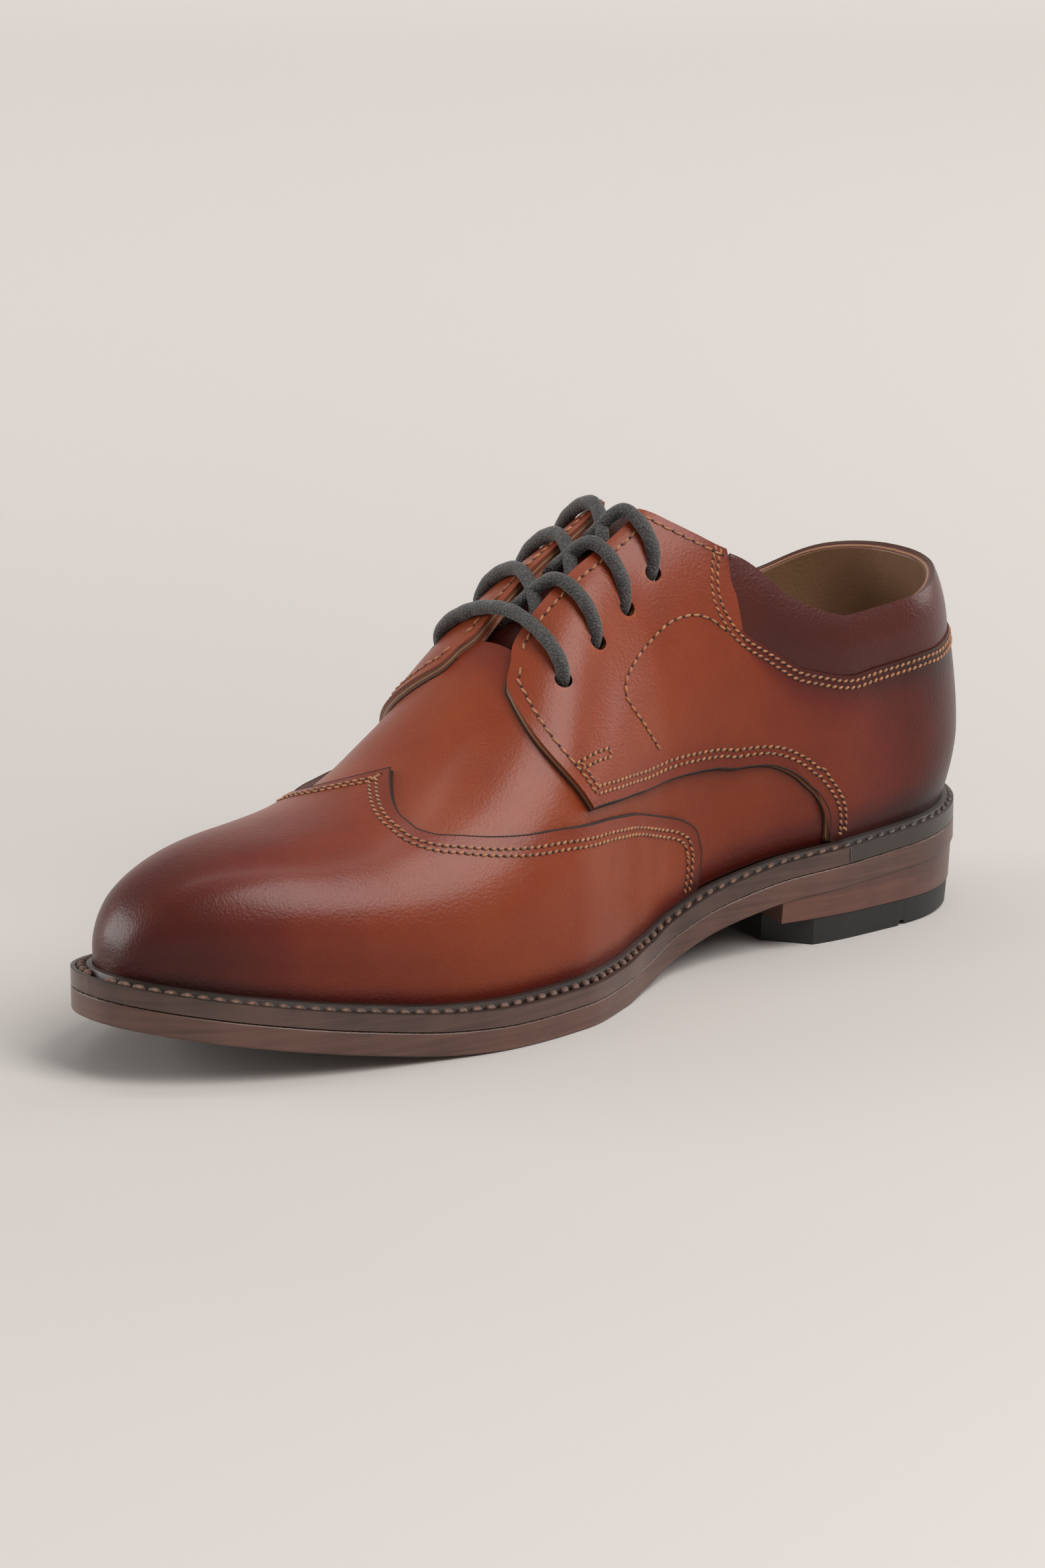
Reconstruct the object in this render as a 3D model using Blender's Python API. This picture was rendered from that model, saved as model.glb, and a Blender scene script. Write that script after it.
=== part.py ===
"""Right shoe of a pair of open-laced wing-tip shoes, at rest on the floor.

Metres, +Z up, toe towards -Y, heel towards +Y, inner (big toe) side towards +X.
The origin is on the floor under the middle of the sole's length and width.
"""

from collections import namedtuple
from math import acos, cos, pi, radians, sin

import bmesh
import bpy
from mathutils import Vector

# Sizes of the sole
SOLE_LENGTH = 0.305
BALL_WIDTH = 0.111
OUTSOLE_THICK = 0.0065
WELT_THICK = 0.0055
HEEL_RISE = 0.020  # underside of the outsole above the floor, at the very back
TOE_SPRING = 0.016  # underside of the outsole above the floor, at the tip of the toe
TOE_ROUND = 0.121  # length over which the outline closes at the toe
SEAT_ROUND = 0.042  # length over which the outline closes at the heel
WELT_REACH = 0.0063  # welt beyond the upper at the toe
WELT_UNDER = 0.010  # width of welt under the upper
LIP_HEIGHT = 0.0014  # raised lip of the storm welt
LIP_WIDTH = 0.0026
LIP_SET_OFF = 0.0005  # between the lip and the foot of the upper

# Sizes of the heel
HEEL_LENGTH = 0.086
BREAST_HOLLOW = 0.005
TOP_PIECE_THICK = 0.0078
TOP_PIECE_SET_IN = 0.0015
HEEL_SET_IN = 0.0006
CORNER_CUT = 0.011  # cut back of the top piece's front corner on the inner side

# Sizes of the last and the upper
INSTEP_HEIGHT = 0.100  # ridge of the last above the welt at the middle of the lacing
TOE_BOX_ROUND = 0.046  # length over which the ridge closes down at the toe
BACK_HEIGHT = 0.066  # collar above the welt at the back
BACK_SWELL = 0.0038  # how far the back of the heel curves out past its foot
BACK_SWELL_LENGTH = 0.095
UPPER_WALL = 0.0020
PANEL_THICK = 0.0012
QUARTER_EXTRA = 0.0010  # more thickness of the quarters at their front edge
INSOLE_THICK = 0.0030
TONGUE_THICK = 0.0018
FACING_GAP = 0.0125  # between the two rows of lace holes' edges
LACE_DIAMETER = 0.0042
CLEARANCE = 0.0005  # between pieces that touch
CURVED_CLEARANCE = 0.0007  # the same between two curved walls
PANEL_FOOT = UPPER_WALL + CURVED_CLEARANCE  # growth of an overlay's underside

# Sections of the shoe, from the back of the heel to the tip of the toe.
# at: share of SOLE_LENGTH; inner, outer: edge of the sole from the centre line,
# shares of BALL_WIDTH; reach: welt beyond the upper, share of WELT_REACH;
# ridge: top of the last above the welt, share of INSTEP_HEIGHT; lean: ridge towards
# the inner side, share of BALL_WIDTH; belly: height of the side's widest line, share of
# INSTEP_HEIGHT; swell: side beyond its foot, share of BALL_WIDTH; arch_in, arch_out:
# roundness of each side's arch, where 2 is an ellipse and more is squarer.
Section = namedtuple("Section", "at inner outer reach ridge lean belly swell arch_in arch_out")
SECTIONS = (
    Section(0.00, 0.346, 0.323, 0.60, 1.180, 0.000, 0.22, 0.032, 2.00, 2.00),
    Section(0.10, 0.359, 0.348, 0.60, 1.210, 0.000, 0.22, 0.036, 2.00, 1.90),
    Section(0.20, 0.355, 0.384, 0.60, 1.195, 0.000, 0.21, 0.036, 2.00, 1.90),
    Section(0.30, 0.310, 0.399, 0.62, 1.140, 0.004, 0.19, 0.032, 2.00, 1.95),
    Section(0.36, 0.291, 0.418, 0.66, 1.085, 0.009, 0.17, 0.027, 2.00, 2.00),
    Section(0.41, 0.298, 0.440, 0.70, 1.040, 0.014, 0.16, 0.025, 2.00, 2.02),
    Section(0.46, 0.347, 0.466, 0.76, 0.995, 0.018, 0.14, 0.022, 2.00, 2.05),
    Section(0.51, 0.416, 0.491, 0.86, 0.910, 0.022, 0.13, 0.020, 2.02, 2.08),
    Section(0.58, 0.486, 0.510, 0.95, 0.725, 0.029, 0.12, 0.019, 2.06, 2.11),
    Section(0.66, 0.501, 0.499, 0.98, 0.540, 0.036, 0.11, 0.018, 2.10, 2.15),
    Section(0.76, 0.478, 0.466, 1.00, 0.420, 0.036, 0.10, 0.014, 2.20, 2.20),
    Section(0.86, 0.461, 0.446, 1.00, 0.350, 0.036, 0.09, 0.011, 2.30, 2.30),
    Section(1.00, 0.445, 0.434, 1.00, 0.290, 0.036, 0.09, 0.009, 2.30, 2.30),
)

# Underside of the outsole above the floor: shares of HEEL_RISE and of TOE_SPRING.
# It is flat on the floor between the two rows that hold nothing.
Rise = namedtuple("Rise", "at heel toe")
RISES = (
    Rise(0.00, 1.000, 0.000),
    Rise(0.15, 0.860, 0.000),
    Rise(0.27, 0.730, 0.000),
    Rise(0.36, 0.470, 0.000),
    Rise(0.46, 0.070, 0.000),
    Rise(0.52, 0.000, 0.000),
    Rise(0.66, 0.000, 0.000),
    Rise(0.72, 0.000, 0.050),
    Rise(0.80, 0.000, 0.260),
    Rise(0.90, 0.000, 0.605),
    Rise(1.00, 0.000, 1.000),
)

# Curve of the back of the heel: height above the welt as a share of BACK_HEIGHT,
# swing backwards as a share of BACK_SWELL.
Back = namedtuple("Back", "at swing")
BACK_CURVE = (
    Back(-0.45, -1.20),
    Back(0.00, 0.00),
    Back(0.33, 1.00),
    Back(0.68, 0.40),
    Back(1.00, -0.80),
    Back(1.36, -2.20),
    Back(2.00, -3.20),
)

# Edge of the opening behind the lacing: share of the way up each side, at shares of
# the last's length.
Topline = namedtuple("Topline", "at inner outer")
TOPLINE = (
    Topline(0.00, 0.420, 0.420),
    Topline(0.03, 0.415, 0.412),
    Topline(0.10, 0.395, 0.380),
    Topline(0.19, 0.400, 0.375),
    Topline(0.25, 0.455, 0.430),
    Topline(0.30, 0.580, 0.565),
    Topline(0.335, 0.660, 0.655),
    Topline(0.366, 0.770, 0.770),
    Topline(0.387, 0.900, 0.900),
)
LACING_TOP = 0.389  # share of the last's length where the facings end above
THROAT = 0.550  # share of the last's length where the opening ends in front

# Powers of the closing curves: 2 is an ellipse and more is blunter.
TOE_POWER = 2.08
SEAT_POWER = 2.12
TOE_BOX_POWER = 2.3
BACK_BLEND = 0.1  # share of the last over which the two sides part from one form at the back
UNDERCUT = 0.18  # share of the way up that the side takes to reach its widest line


def hermite(rows, column, at):
    """Value of a table's column at a place, on a smooth curve through its rows."""
    places = [row.at for row in rows]
    values = [getattr(row, column) for row in rows]
    at = min(max(at, places[0]), places[-1])
    i = max(k for k in range(len(rows) - 1) if places[k] <= at)
    slopes = []
    for k in (i, i + 1):
        if k in (0, len(rows) - 1):
            near = min(max(k, 1), len(rows) - 1)
            slopes.append((values[near] - values[near - 1]) / (places[near] - places[near - 1]))
            continue
        before = (values[k] - values[k - 1]) / (places[k] - places[k - 1])
        after = (values[k + 1] - values[k]) / (places[k + 1] - places[k])
        slopes.append(0.0 if before * after <= 0 else 2 * before * after / (before + after))
    width = places[i + 1] - places[i]
    t = (at - places[i]) / width
    return (
        values[i] * (1 + 2 * t) * (1 - t) ** 2
        + values[i + 1] * t * t * (3 - 2 * t)
        + width * (slopes[0] * t * (1 - t) ** 2 - slopes[1] * t * t * (1 - t))
    )


def closing(distance, depth, power):
    """1 away from an end, falling to 0 at the end on a rounded curve."""
    y = min(max((depth - distance) / depth, 0.0), 1.0)
    return max(1 - y**power, 0.0) ** (1 / power)


def underside(station):
    """Height of the outsole's underside at a distance from the back of the heel."""
    at = station / SOLE_LENGTH
    return HEEL_RISE * hermite(RISES, "heel", at) + TOE_SPRING * hermite(RISES, "toe", at)


def welt_top(station):
    return underside(station) + OUTSOLE_THICK + WELT_THICK


def foot_inset(grow):
    """Inset of the upper's foot from the welt's reach, for a form grown past the last."""
    return PANEL_FOOT + PANEL_THICK - grow


def ends(inset, reach):
    """Insets at the back of the heel and at the tip of the toe."""
    back, tip = SECTIONS[0].reach, SECTIONS[-1].reach
    return inset + reach * WELT_REACH * back, inset + reach * WELT_REACH * tip


def outline(side, share, inset, reach=0.0):
    """(half width, station) of an outline inset from the sole's edge.

    share runs from 0 at the back to 1 at the toe, and reach 1 adds the welt's reach.
    """
    back, tip = ends(inset, reach)
    station = back + share * (SOLE_LENGTH - back - tip)
    at = station / SOLE_LENGTH
    column = "inner" if side > 0 else "outer"
    margin = inset + reach * WELT_REACH * hermite(SECTIONS, "reach", at)
    width = BALL_WIDTH * hermite(SECTIONS, column, at) - margin
    width *= closing(SOLE_LENGTH - tip - station, TOE_ROUND - tip, TOE_POWER)
    width *= closing(station - back, SEAT_ROUND - back, SEAT_POWER)
    return width, station


def widest(side):
    return max(outline(side, i / 200, 0.0)[0] for i in range(201))


CENTRE_X = (widest(1) - widest(-1)) / 2


def placed(x, station, z):
    """Point from the sole's own coordinates in the shoe's frame."""
    return Vector((x - CENTRE_X, SOLE_LENGTH / 2 - station, z))


def sided(rows, inner, outer, side, at, share):
    """Value of a side's own column, which becomes the mean of both at the back seam."""
    own = hermite(rows, inner if side > 0 else outer, at)
    other = hermite(rows, outer if side > 0 else inner, at)
    apart = min(share / BACK_BLEND, 1.0)
    return (own + other) / 2 + apart * (own - other) / 2


def form(side, share, grow):
    """The last's section at a share of its length, grown outwards."""
    width, station = outline(side, share, foot_inset(grow), 1.0)
    back, tip = ends(foot_inset(grow), 1.0)
    at = station / SOLE_LENGTH
    toe = closing(SOLE_LENGTH - tip - station, TOE_ROUND - tip, TOE_POWER)
    seat = closing(station - back, SEAT_ROUND - back, SEAT_POWER)
    box = closing(SOLE_LENGTH - tip - station, TOE_BOX_ROUND + grow, TOE_BOX_POWER)
    ridge = (INSTEP_HEIGHT * hermite(SECTIONS, "ridge", at) + grow) * box
    belly = min(INSTEP_HEIGHT * hermite(SECTIONS, "belly", at), 0.35 * ridge)
    swell = BALL_WIDTH * hermite(SECTIONS, "swell", at) * toe * seat * box
    lean = BALL_WIDTH * hermite(SECTIONS, "lean", at) * box * seat
    power = sided(SECTIONS, "arch_in", "arch_out", side, at, share)
    return width, station, ridge, belly, width + swell, lean, power


def skin(side, share, up, grow):
    """Point on the last grown outwards: share is 0 at the back and 1 at the toe,
    and up is 0 at the foot and 1 on the ridge."""
    share = min(max(share, 0.0), 1.0)
    foot, station, ridge, belly, wide, lean, power = form(side, share, grow)
    turn = up * (1 + UNDERCUT) - UNDERCUT
    if turn < 0:
        x = wide - (wide - foot) * (turn / UNDERCUT) ** 2
        z = belly * (1 + turn / UNDERCUT)
    else:
        angle = min(turn, 1.0) * pi / 2
        x = wide * max(cos(angle), 0.0) ** (2 / power)
        z = belly + (ridge - belly) * sin(angle) ** (2 / power)
    lift = max(z - belly, 0.0) / max(ridge - belly, 1e-6)
    back, _ = ends(foot_inset(grow), 1.0)
    near_back = max(1 - (station - back) / BACK_SWELL_LENGTH, 0.0) ** 2
    swing = BACK_SWELL * hermite(BACK_CURVE, "swing", z / BACK_HEIGHT) * near_back
    return placed(side * x + lean * lift, station - swing, welt_top(station) + CLEARANCE + z)


def girth_at_gap(side, share):
    """Share of the way up the side where the facings' edges stand."""
    _, _, _, _, wide, _, power = form(side, share, UPPER_WALL)
    ratio = min(FACING_GAP / 2 / max(wide, 1e-6), 0.3)
    return (acos(ratio ** (power / 2)) * 2 / pi + UNDERCUT) / (1 + UNDERCUT)


def rim(side, share):
    """Share of the way up to the edge of the opening: topline, then facing."""
    if share <= LACING_TOP:
        return sided(TOPLINE, "inner", "outer", side, share, share)
    return girth_at_gap(side, share)


def material(name, colour, roughness, metallic=0.0):
    made = bpy.data.materials.new(name)
    made.use_nodes = True
    shader = made.node_tree.nodes["Principled BSDF"]
    shader.inputs["Base Color"].default_value = (*colour, 1.0)
    shader.inputs["Roughness"].default_value = roughness
    shader.inputs["Metallic"].default_value = metallic
    return made


def finished(name, mesh, look):
    """Object of a closed bmesh, its faces turned outwards and shaded smooth."""
    bmesh.ops.recalc_face_normals(mesh, faces=mesh.faces[:])
    data = bpy.data.meshes.new(name)
    mesh.to_mesh(data)
    mesh.free()
    data.materials.append(look)
    data.shade_smooth()
    data.set_sharp_from_angle(angle=radians(40))
    made = bpy.data.objects.new(name, data)
    bpy.context.scene.collection.objects.link(made)
    return made


def grid(rows, columns, keep=None):
    """Flat grid with each vertex's place along (0 to 1) and across (-1 to 1) in layers."""
    mesh = bmesh.new()
    along = mesh.verts.layers.float.new("along")
    across = mesh.verts.layers.float.new("across")
    bmesh.ops.create_grid(mesh, x_segments=rows, y_segments=columns, size=1.0)
    for vertex in mesh.verts:
        vertex[along] = (vertex.co.x + 1) / 2
        vertex[across] = vertex.co.y
    if keep:
        dropped = []
        for face in mesh.faces:
            middle = face.calc_center_median()
            if not keep((middle.x + 1) / 2, middle.y):
                dropped.append(face)
        bmesh.ops.delete(mesh, geom=dropped, context="FACES")
    return mesh, along, across


def shell(name, look, rows, columns, place, keep=None):
    """Closed wall between place(along, across, 0) and place(along, across, 1)."""
    mesh, along, across = grid(rows, columns, keep)
    for vertex in mesh.verts:
        vertex.co = place(vertex[along], vertex[across], 0)
    bmesh.ops.remove_doubles(mesh, verts=mesh.verts[:], dist=1e-6)
    grown = bmesh.ops.extrude_face_region(mesh, geom=mesh.faces[:], use_keep_orig=True)
    for item in grown["geom"]:
        if isinstance(item, bmesh.types.BMVert):
            item.co = place(item[along], item[across], 1)
    return finished(name, mesh, look)


def tube(name, look, centre, radius, rows, sides):
    """Closed round cord along centre(along), with rounded ends."""
    mesh, along, across = grid(rows, sides)
    step = 1e-3
    for vertex in mesh.verts:
        u = vertex[along]
        turn = pi * vertex[across]
        middle = centre(u)
        ahead = (centre(min(u + step, 1)) - centre(max(u - step, 0))).normalized()
        side = ahead.cross(Vector((0, 0, 1))).normalized()
        up = side.cross(ahead)
        run = min(u, 1 - u) * rows
        size = radius * (0.0 if run < 0.01 else 0.75 if run < 1.01 else 1.0)
        vertex.co = middle + size * (cos(turn) * side + sin(turn) * up)
    bmesh.ops.remove_doubles(mesh, verts=mesh.verts[:], dist=1e-6)
    return finished(name, mesh, look)


def eased(u, evenness=0.35):
    """Spacing that is finer near 0, for a rounded end there."""
    return evenness * u + (1 - evenness) * (1 - cos(pi * u / 2))


def both_ends(u, evenness=0.18):
    """Spacing that is finer near 0 and near 1."""
    return evenness * u + (1 - evenness) * (1 - cos(pi * u)) / 2


# Outsole, insole and heel: plates cut to one outline


def plate_point(share, across, inset, reach, height):
    width, station = outline(1 if across > 0 else -1, share, inset, reach)
    return placed(across * width, station, height(station))


def outsole(look):
    def place(along, across, level):
        def height(station):
            return underside(station) + level * OUTSOLE_THICK

        return plate_point(both_ends(along), across, 0.0, 0.0, height)

    return shell("outsole", look, 48, 2, place)


def insole(look):
    def place(along, across, level):
        def height(station):
            return welt_top(station) + CLEARANCE + level * INSOLE_THICK

        inset = foot_inset(0.0) + 2 * CLEARANCE
        return plate_point(both_ends(along), across, inset, 1.0, height)

    return shell("insole", look, 28, 2, place)


def welt(look):
    """Plate between upper and outsole, with a flat edge and a raised lip round the foot."""
    profile = (
        # from the edge inwards: inset, share of the reach, height
        (0.0, 0.0, 0.0),
        (-LIP_SET_OFF - LIP_WIDTH, 1.0, 0.0),
        (-LIP_SET_OFF - LIP_WIDTH / 2, 1.0, LIP_HEIGHT),
        (-LIP_SET_OFF, 1.0, 0.0),
        (WELT_UNDER, 1.0, 0.0),
    )
    half = len(profile) - 1

    def place(along, across, level):
        column = round((1 - abs(across)) * half)
        inset, reach, high = profile[column]
        width, station = outline(1 if across > 0 else -1, both_ends(along), inset, reach)
        top = welt_top(station) + high
        bottom = underside(station) + OUTSOLE_THICK + CLEARANCE
        x = 0.0 if column == half else width
        return placed(x if across > 0 else -x, station, top if level else bottom)

    return shell("welt", look, 36, 2 * half, place)


def heel_point(along, across, inset, z, cut=0.0):
    """Point of the heel's outline, from the back (along 0) to the hollow breast (1)."""
    _, station = outline(1, 0.0, inset)
    breast = HEEL_LENGTH - BREAST_HOLLOW * (1 - across * across)
    breast -= cut * max(3 * across - 2, 0.0)
    station += eased(along) * (breast - station)
    share = (station - inset) / (SOLE_LENGTH - 2 * inset)
    width, _ = outline(1 if across > 0 else -1, share, inset)
    return placed(across * width, station, z(station))


def heel_stack(look):
    def place(along, across, level):
        def height(station):
            return underside(station) - CLEARANCE if level else TOP_PIECE_THICK + CLEARANCE

        return heel_point(along, across, HEEL_SET_IN + (1 - level) * HEEL_SET_IN, height)

    return shell("heel_stack", look, 12, 6, place)


def heel_top_piece(look):
    def place(along, across, level):
        inset = TOP_PIECE_SET_IN + (1 - level) * HEEL_SET_IN

        def height(station):
            return level * TOP_PIECE_THICK

        return heel_point(along, across, inset, height, CORNER_CUT)

    return shell("heel_top_piece", look, 12, 6, place)


# Upper: one hollow wall over the last, open below, along the lacing and at the collar

# Rows of the upper's mesh: how far along the last each counted row lies.
Row = namedtuple("Row", "at share")
UPPER_ROWS = (
    Row(0, 0.000),
    Row(4, 0.028),
    Row(8, 0.108),
    Row(12, 0.210),
    Row(16, 0.320),
    Row(21, 0.389),
    Row(28, THROAT),
    Row(34, 0.715),
    Row(39, 0.885),
    Row(43, 0.975),
    Row(46, 1.000),
)
THROAT_ROW = 28
SIDE_COLUMNS = 9
RIDGE_COLUMNS = 2


def split_columns(across, side_columns, ridge_columns):
    """(share up the side part, share over the ridge part) of a place across an arch."""
    parts = (side_columns + ridge_columns) * (1 - abs(across))
    return min(parts / side_columns, 1.0), max(parts - side_columns, 0.0) / ridge_columns


def upper(look):
    rows = UPPER_ROWS[-1].at

    def place(along, across, level):
        share = hermite(UPPER_ROWS, "share", along * rows)
        side = 1 if across > 0 else -1
        up_side, over = split_columns(across, SIDE_COLUMNS, RIDGE_COLUMNS)
        edge = rim(side, share)
        return skin(side, share, edge * up_side + (1 - edge) * over, level * UPPER_WALL)

    def keep(along, across):
        closed_ahead = along > THROAT_ROW / rows
        return closed_ahead or abs(across) > RIDGE_COLUMNS / (SIDE_COLUMNS + RIDGE_COLUMNS)

    columns = 2 * (SIDE_COLUMNS + RIDGE_COLUMNS)
    return shell("upper", look, rows, columns, place, keep)


# Overlays: panels lying on the upper, each between a lower and an upper edge.
# low, high: places of the two edges, shares of the last's length; low_up, high_up:
# shares of the way up, or shares of the rim for both of the collar's edges and for the
# quarters' upper edge.

Strip = namedtuple("Strip", "at low low_up high high_up")

WING_TROUGH = 0.723
WING_SHOULDER = 0.78
WING_PEAK = 0.041  # share of the last's length that the peak reaches behind the trough
WING_EDGES = (
    Strip(0, 0.723, 0.0, 0.723, 0.780),
    Strip(1, 0.716, 0.0, 0.722, 0.720),
    Strip(2, 0.703, 0.0, 0.713, 0.665),
    Strip(3, 0.684, 0.0, 0.689, 0.603),
    Strip(4, 0.663, 0.0, 0.663, 0.543),
    Strip(5, 0.626, 0.0, 0.626, 0.470),
    Strip(6, 0.589, 0.0, 0.589, 0.417),
    Strip(7, 0.547, 0.0, 0.547, 0.366),
    Strip(8, 0.504, 0.0, 0.504, 0.328),
    Strip(9, 0.462, 0.0, 0.460, 0.287),
    Strip(10, 0.425, 0.0, 0.420, 0.236),
    Strip(11, 0.398, 0.0, 0.394, 0.201),
    Strip(12, 0.382, 0.0, 0.377, 0.165),
    Strip(13, 0.372, 0.0, 0.372, 0.120),
)

QUARTER_BOW = 0.023  # share of the last's length that the front edge bows forwards
QUARTER_EDGES = (
    Strip(0, 0.000, 0.000, 0.000, 0.750),
    Strip(1, 0.004, 0.000, 0.004, 0.750),
    Strip(2, 0.016, 0.000, 0.016, 0.750),
    Strip(3, 0.034, 0.000, 0.034, 0.750),
    Strip(4, 0.055, 0.000, 0.055, 0.753),
    Strip(5, 0.078, 0.000, 0.078, 0.756),
    Strip(6, 0.103, 0.000, 0.104, 0.760),
    Strip(7, 0.130, 0.000, 0.133, 0.760),
    Strip(8, 0.158, 0.000, 0.165, 0.760),
    Strip(9, 0.184, 0.000, 0.197, 0.753),
    Strip(10, 0.205, 0.000, 0.231, 0.745),
    Strip(11, 0.219, 0.010, 0.266, 0.730),
    Strip(12, 0.227, 0.075, 0.298, 0.720),
    Strip(13, 0.240, 0.125, 0.319, 0.745),
    Strip(14, 0.261, 0.170, 0.331, 0.830),
    Strip(15, 0.292, 0.207, 0.325, 0.930),
    Strip(16, 0.316, 0.223, 0.316, 1.000),
    Strip(17, 0.333, 0.233, 0.335, 1.000),
    Strip(18, 0.350, 0.248, 0.352, 1.000),
    Strip(19, 0.368, 0.262, 0.368, 1.000),
    Strip(20, 0.382, 0.274, 0.381, 1.000),
    Strip(21, 0.396, 0.288, 0.391, 1.000),
    Strip(22, 0.414, 0.294, 0.405, 1.000),
    Strip(23, 0.441, 0.314, 0.435, 1.000),
    Strip(24, 0.474, 0.337, 0.474, 1.000),
    Strip(25, 0.506, 0.360, 0.512, 1.000),
    Strip(26, 0.531, 0.381, 0.547, 1.000),
    Strip(27, 0.551, 0.400, 0.574, 0.960),
)

COLLAR_EDGES = (
    Strip(0, 0.000, 0.780, 0.000, 1.000),
    Strip(1, 0.004, 0.780, 0.004, 1.000),
    Strip(2, 0.016, 0.780, 0.016, 1.000),
    Strip(3, 0.034, 0.780, 0.034, 1.000),
    Strip(4, 0.055, 0.783, 0.055, 1.000),
    Strip(5, 0.078, 0.786, 0.078, 1.000),
    Strip(6, 0.104, 0.790, 0.103, 1.000),
    Strip(7, 0.133, 0.790, 0.131, 1.000),
    Strip(8, 0.165, 0.790, 0.161, 1.000),
    Strip(9, 0.197, 0.783, 0.190, 1.000),
    Strip(10, 0.229, 0.774, 0.216, 1.000),
    Strip(11, 0.261, 0.762, 0.240, 1.000),
    Strip(12, 0.289, 0.760, 0.266, 1.000),
    Strip(13, 0.305, 0.790, 0.283, 1.000),
    Strip(14, 0.311, 0.860, 0.294, 1.000),
    Strip(15, 0.307, 0.930, 0.300, 1.000),
)


def strip_point(edges, run, q):
    """(place, up) at a share of the way from a panel's lower to its upper edge."""
    row = run * (len(edges) - 1)
    low = hermite(edges, "low", row), hermite(edges, "low_up", row)
    high = hermite(edges, "high", row), hermite(edges, "high_up", row)
    return low[0] + q * (high[0] - low[0]), low[1] + q * (high[1] - low[1])


def wing_cap(look):
    ahead, behind = 11, len(WING_EDGES) - 1
    side_columns, ridge_columns = 8, 2
    rows = ahead + behind
    trough_row = behind / rows

    def place(along, across, level):
        side = 1 if across > 0 else -1
        q, over = split_columns(across, side_columns, ridge_columns)
        if along < trough_row:
            share, up = strip_point(WING_EDGES, 1 - along / trough_row, q)
            near_peak = 0.0
        else:
            near_peak = (along - trough_row) / (1 - trough_row)
            share = 1 - (1 - WING_TROUGH) * eased(1 - near_peak)
            up = WING_SHOULDER * q
        up += (1 - WING_SHOULDER) * over
        share -= WING_PEAK * over**2 * (3 - 2 * over) * (1 - near_peak) ** 2
        return skin(side, share, up, PANEL_FOOT + level * PANEL_THICK)

    def keep(along, across):
        whole = along > trough_row
        return whole or abs(across) > ridge_columns / (side_columns + ridge_columns)

    columns = 2 * (side_columns + ridge_columns)
    return shell("wing_cap", look, rows, columns, place, keep)


def quarter_point(side, run, q, grow):
    share, _ = strip_point(QUARTER_EDGES, run, q)
    front = max(run - 0.75, 0.0) / 0.25
    share += QUARTER_BOW * front**2 * sin(pi * q)
    row = run * (len(QUARTER_EDGES) - 1)
    low = hermite(QUARTER_EDGES, "low_up", row)
    high = hermite(QUARTER_EDGES, "high_up", row) * rim(side, share)
    return skin(side, share, low + q * (high - low), grow)


def quarters(look):
    """Both quarters, closed at the back seam, thicker at their front edges."""

    def place(along, across, level):
        side = 1 if along > 0.5 else -1
        run = abs(2 * along - 1)
        thick = PANEL_THICK + QUARTER_EXTRA * min(max((run - 0.6) / 0.25, 0.0), 1.0)
        q = 1 - eased((1 - across) / 2, 0.7)
        return quarter_point(side, run, q, PANEL_FOOT + level * thick)

    return shell("quarters", look, 2 * (len(QUARTER_EDGES) - 1), 8, place)


def collar_panel(look):
    def place(along, across, level):
        side = 1 if along > 0.5 else -1
        share, up = strip_point(COLLAR_EDGES, abs(2 * along - 1), (across + 1) / 2)
        return skin(side, share, up * rim(side, share), PANEL_FOOT + level * PANEL_THICK)

    return shell("collar_panel", look, 2 * (len(COLLAR_EDGES) - 1), 2, place)


# Tongue and lace

TONGUE_BACK = 0.368  # shares of the last's length
TONGUE_FRONT = 0.580
TONGUE_UP = 0.72  # share of the way up each side where the tongue's edges lie

# Lace holes, from the lowest to the top one: share of the last's length, share of the
# way up each side.
Hole = namedtuple("Hole", "at share up")
HOLES = (
    Hole(0, 0.537, 0.698),
    Hole(1, 0.487, 0.684),
    Hole(2, 0.440, 0.687),
    Hole(3, 0.398, 0.701),
)

# Course of a run of lace: across is 1 at its own hole, 0 over the middle of the gap
# and less past it; ahead is its way towards the toe, share of the last's length; grow
# is the height of its middle over the last, in lace diameters above the quarters.
Run = namedtuple("Run", "at across ahead high")
BAR_RUN = (
    Run(0.00, 1.00, 0.000, 0.42),
    Run(0.07, 0.93, 0.000, 0.55),
    Run(0.17, 0.78, 0.000, 0.86),
    Run(0.35, 0.35, 0.000, 0.95),
    Run(0.50, 0.00, 0.000, 0.95),
)
CROSSING_RUN = (
    Run(0.00, 1.00, 0.000, 0.58),
    Run(0.16, 0.84, 0.002, 0.85),
    Run(0.62, 0.36, 0.005, 1.00),
    Run(0.84, 0.08, 0.013, 0.35),
    Run(1.00, -0.09, 0.022, -0.42),
)


def tongue(look):
    def place(along, across, level):
        share = TONGUE_BACK + along * (TONGUE_FRONT - TONGUE_BACK)
        up = 1 - (1 - TONGUE_UP) * abs(across)
        side = 1 if across > 0 else -1
        return skin(side, share, up, -2 * CURVED_CLEARANCE - (1 - level) * TONGUE_THICK)

    return shell("tongue", look, 10, 8, place)


def run_point(side, hole, run, along):
    """Middle of a run of lace from its hole on one side, part way along."""
    across = hermite(run, "across", along)
    share = hole.share + hermite(run, "ahead", along)
    up = 1 - (1 - hole.up) * abs(across)
    top = PANEL_FOOT + PANEL_THICK + QUARTER_EXTRA
    grow = top + LACE_DIAMETER * hermite(run, "high", along)
    return skin(side if across > 0 else -side, share, up, grow)


def lace_bar(look):
    def centre(along):
        side = 1 if along < 0.5 else -1
        return run_point(side, HOLES[0], BAR_RUN, 0.5 - abs(0.5 - along))

    return tube("lace_bar", look, centre, LACE_DIAMETER / 2, 14, 6)


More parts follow.
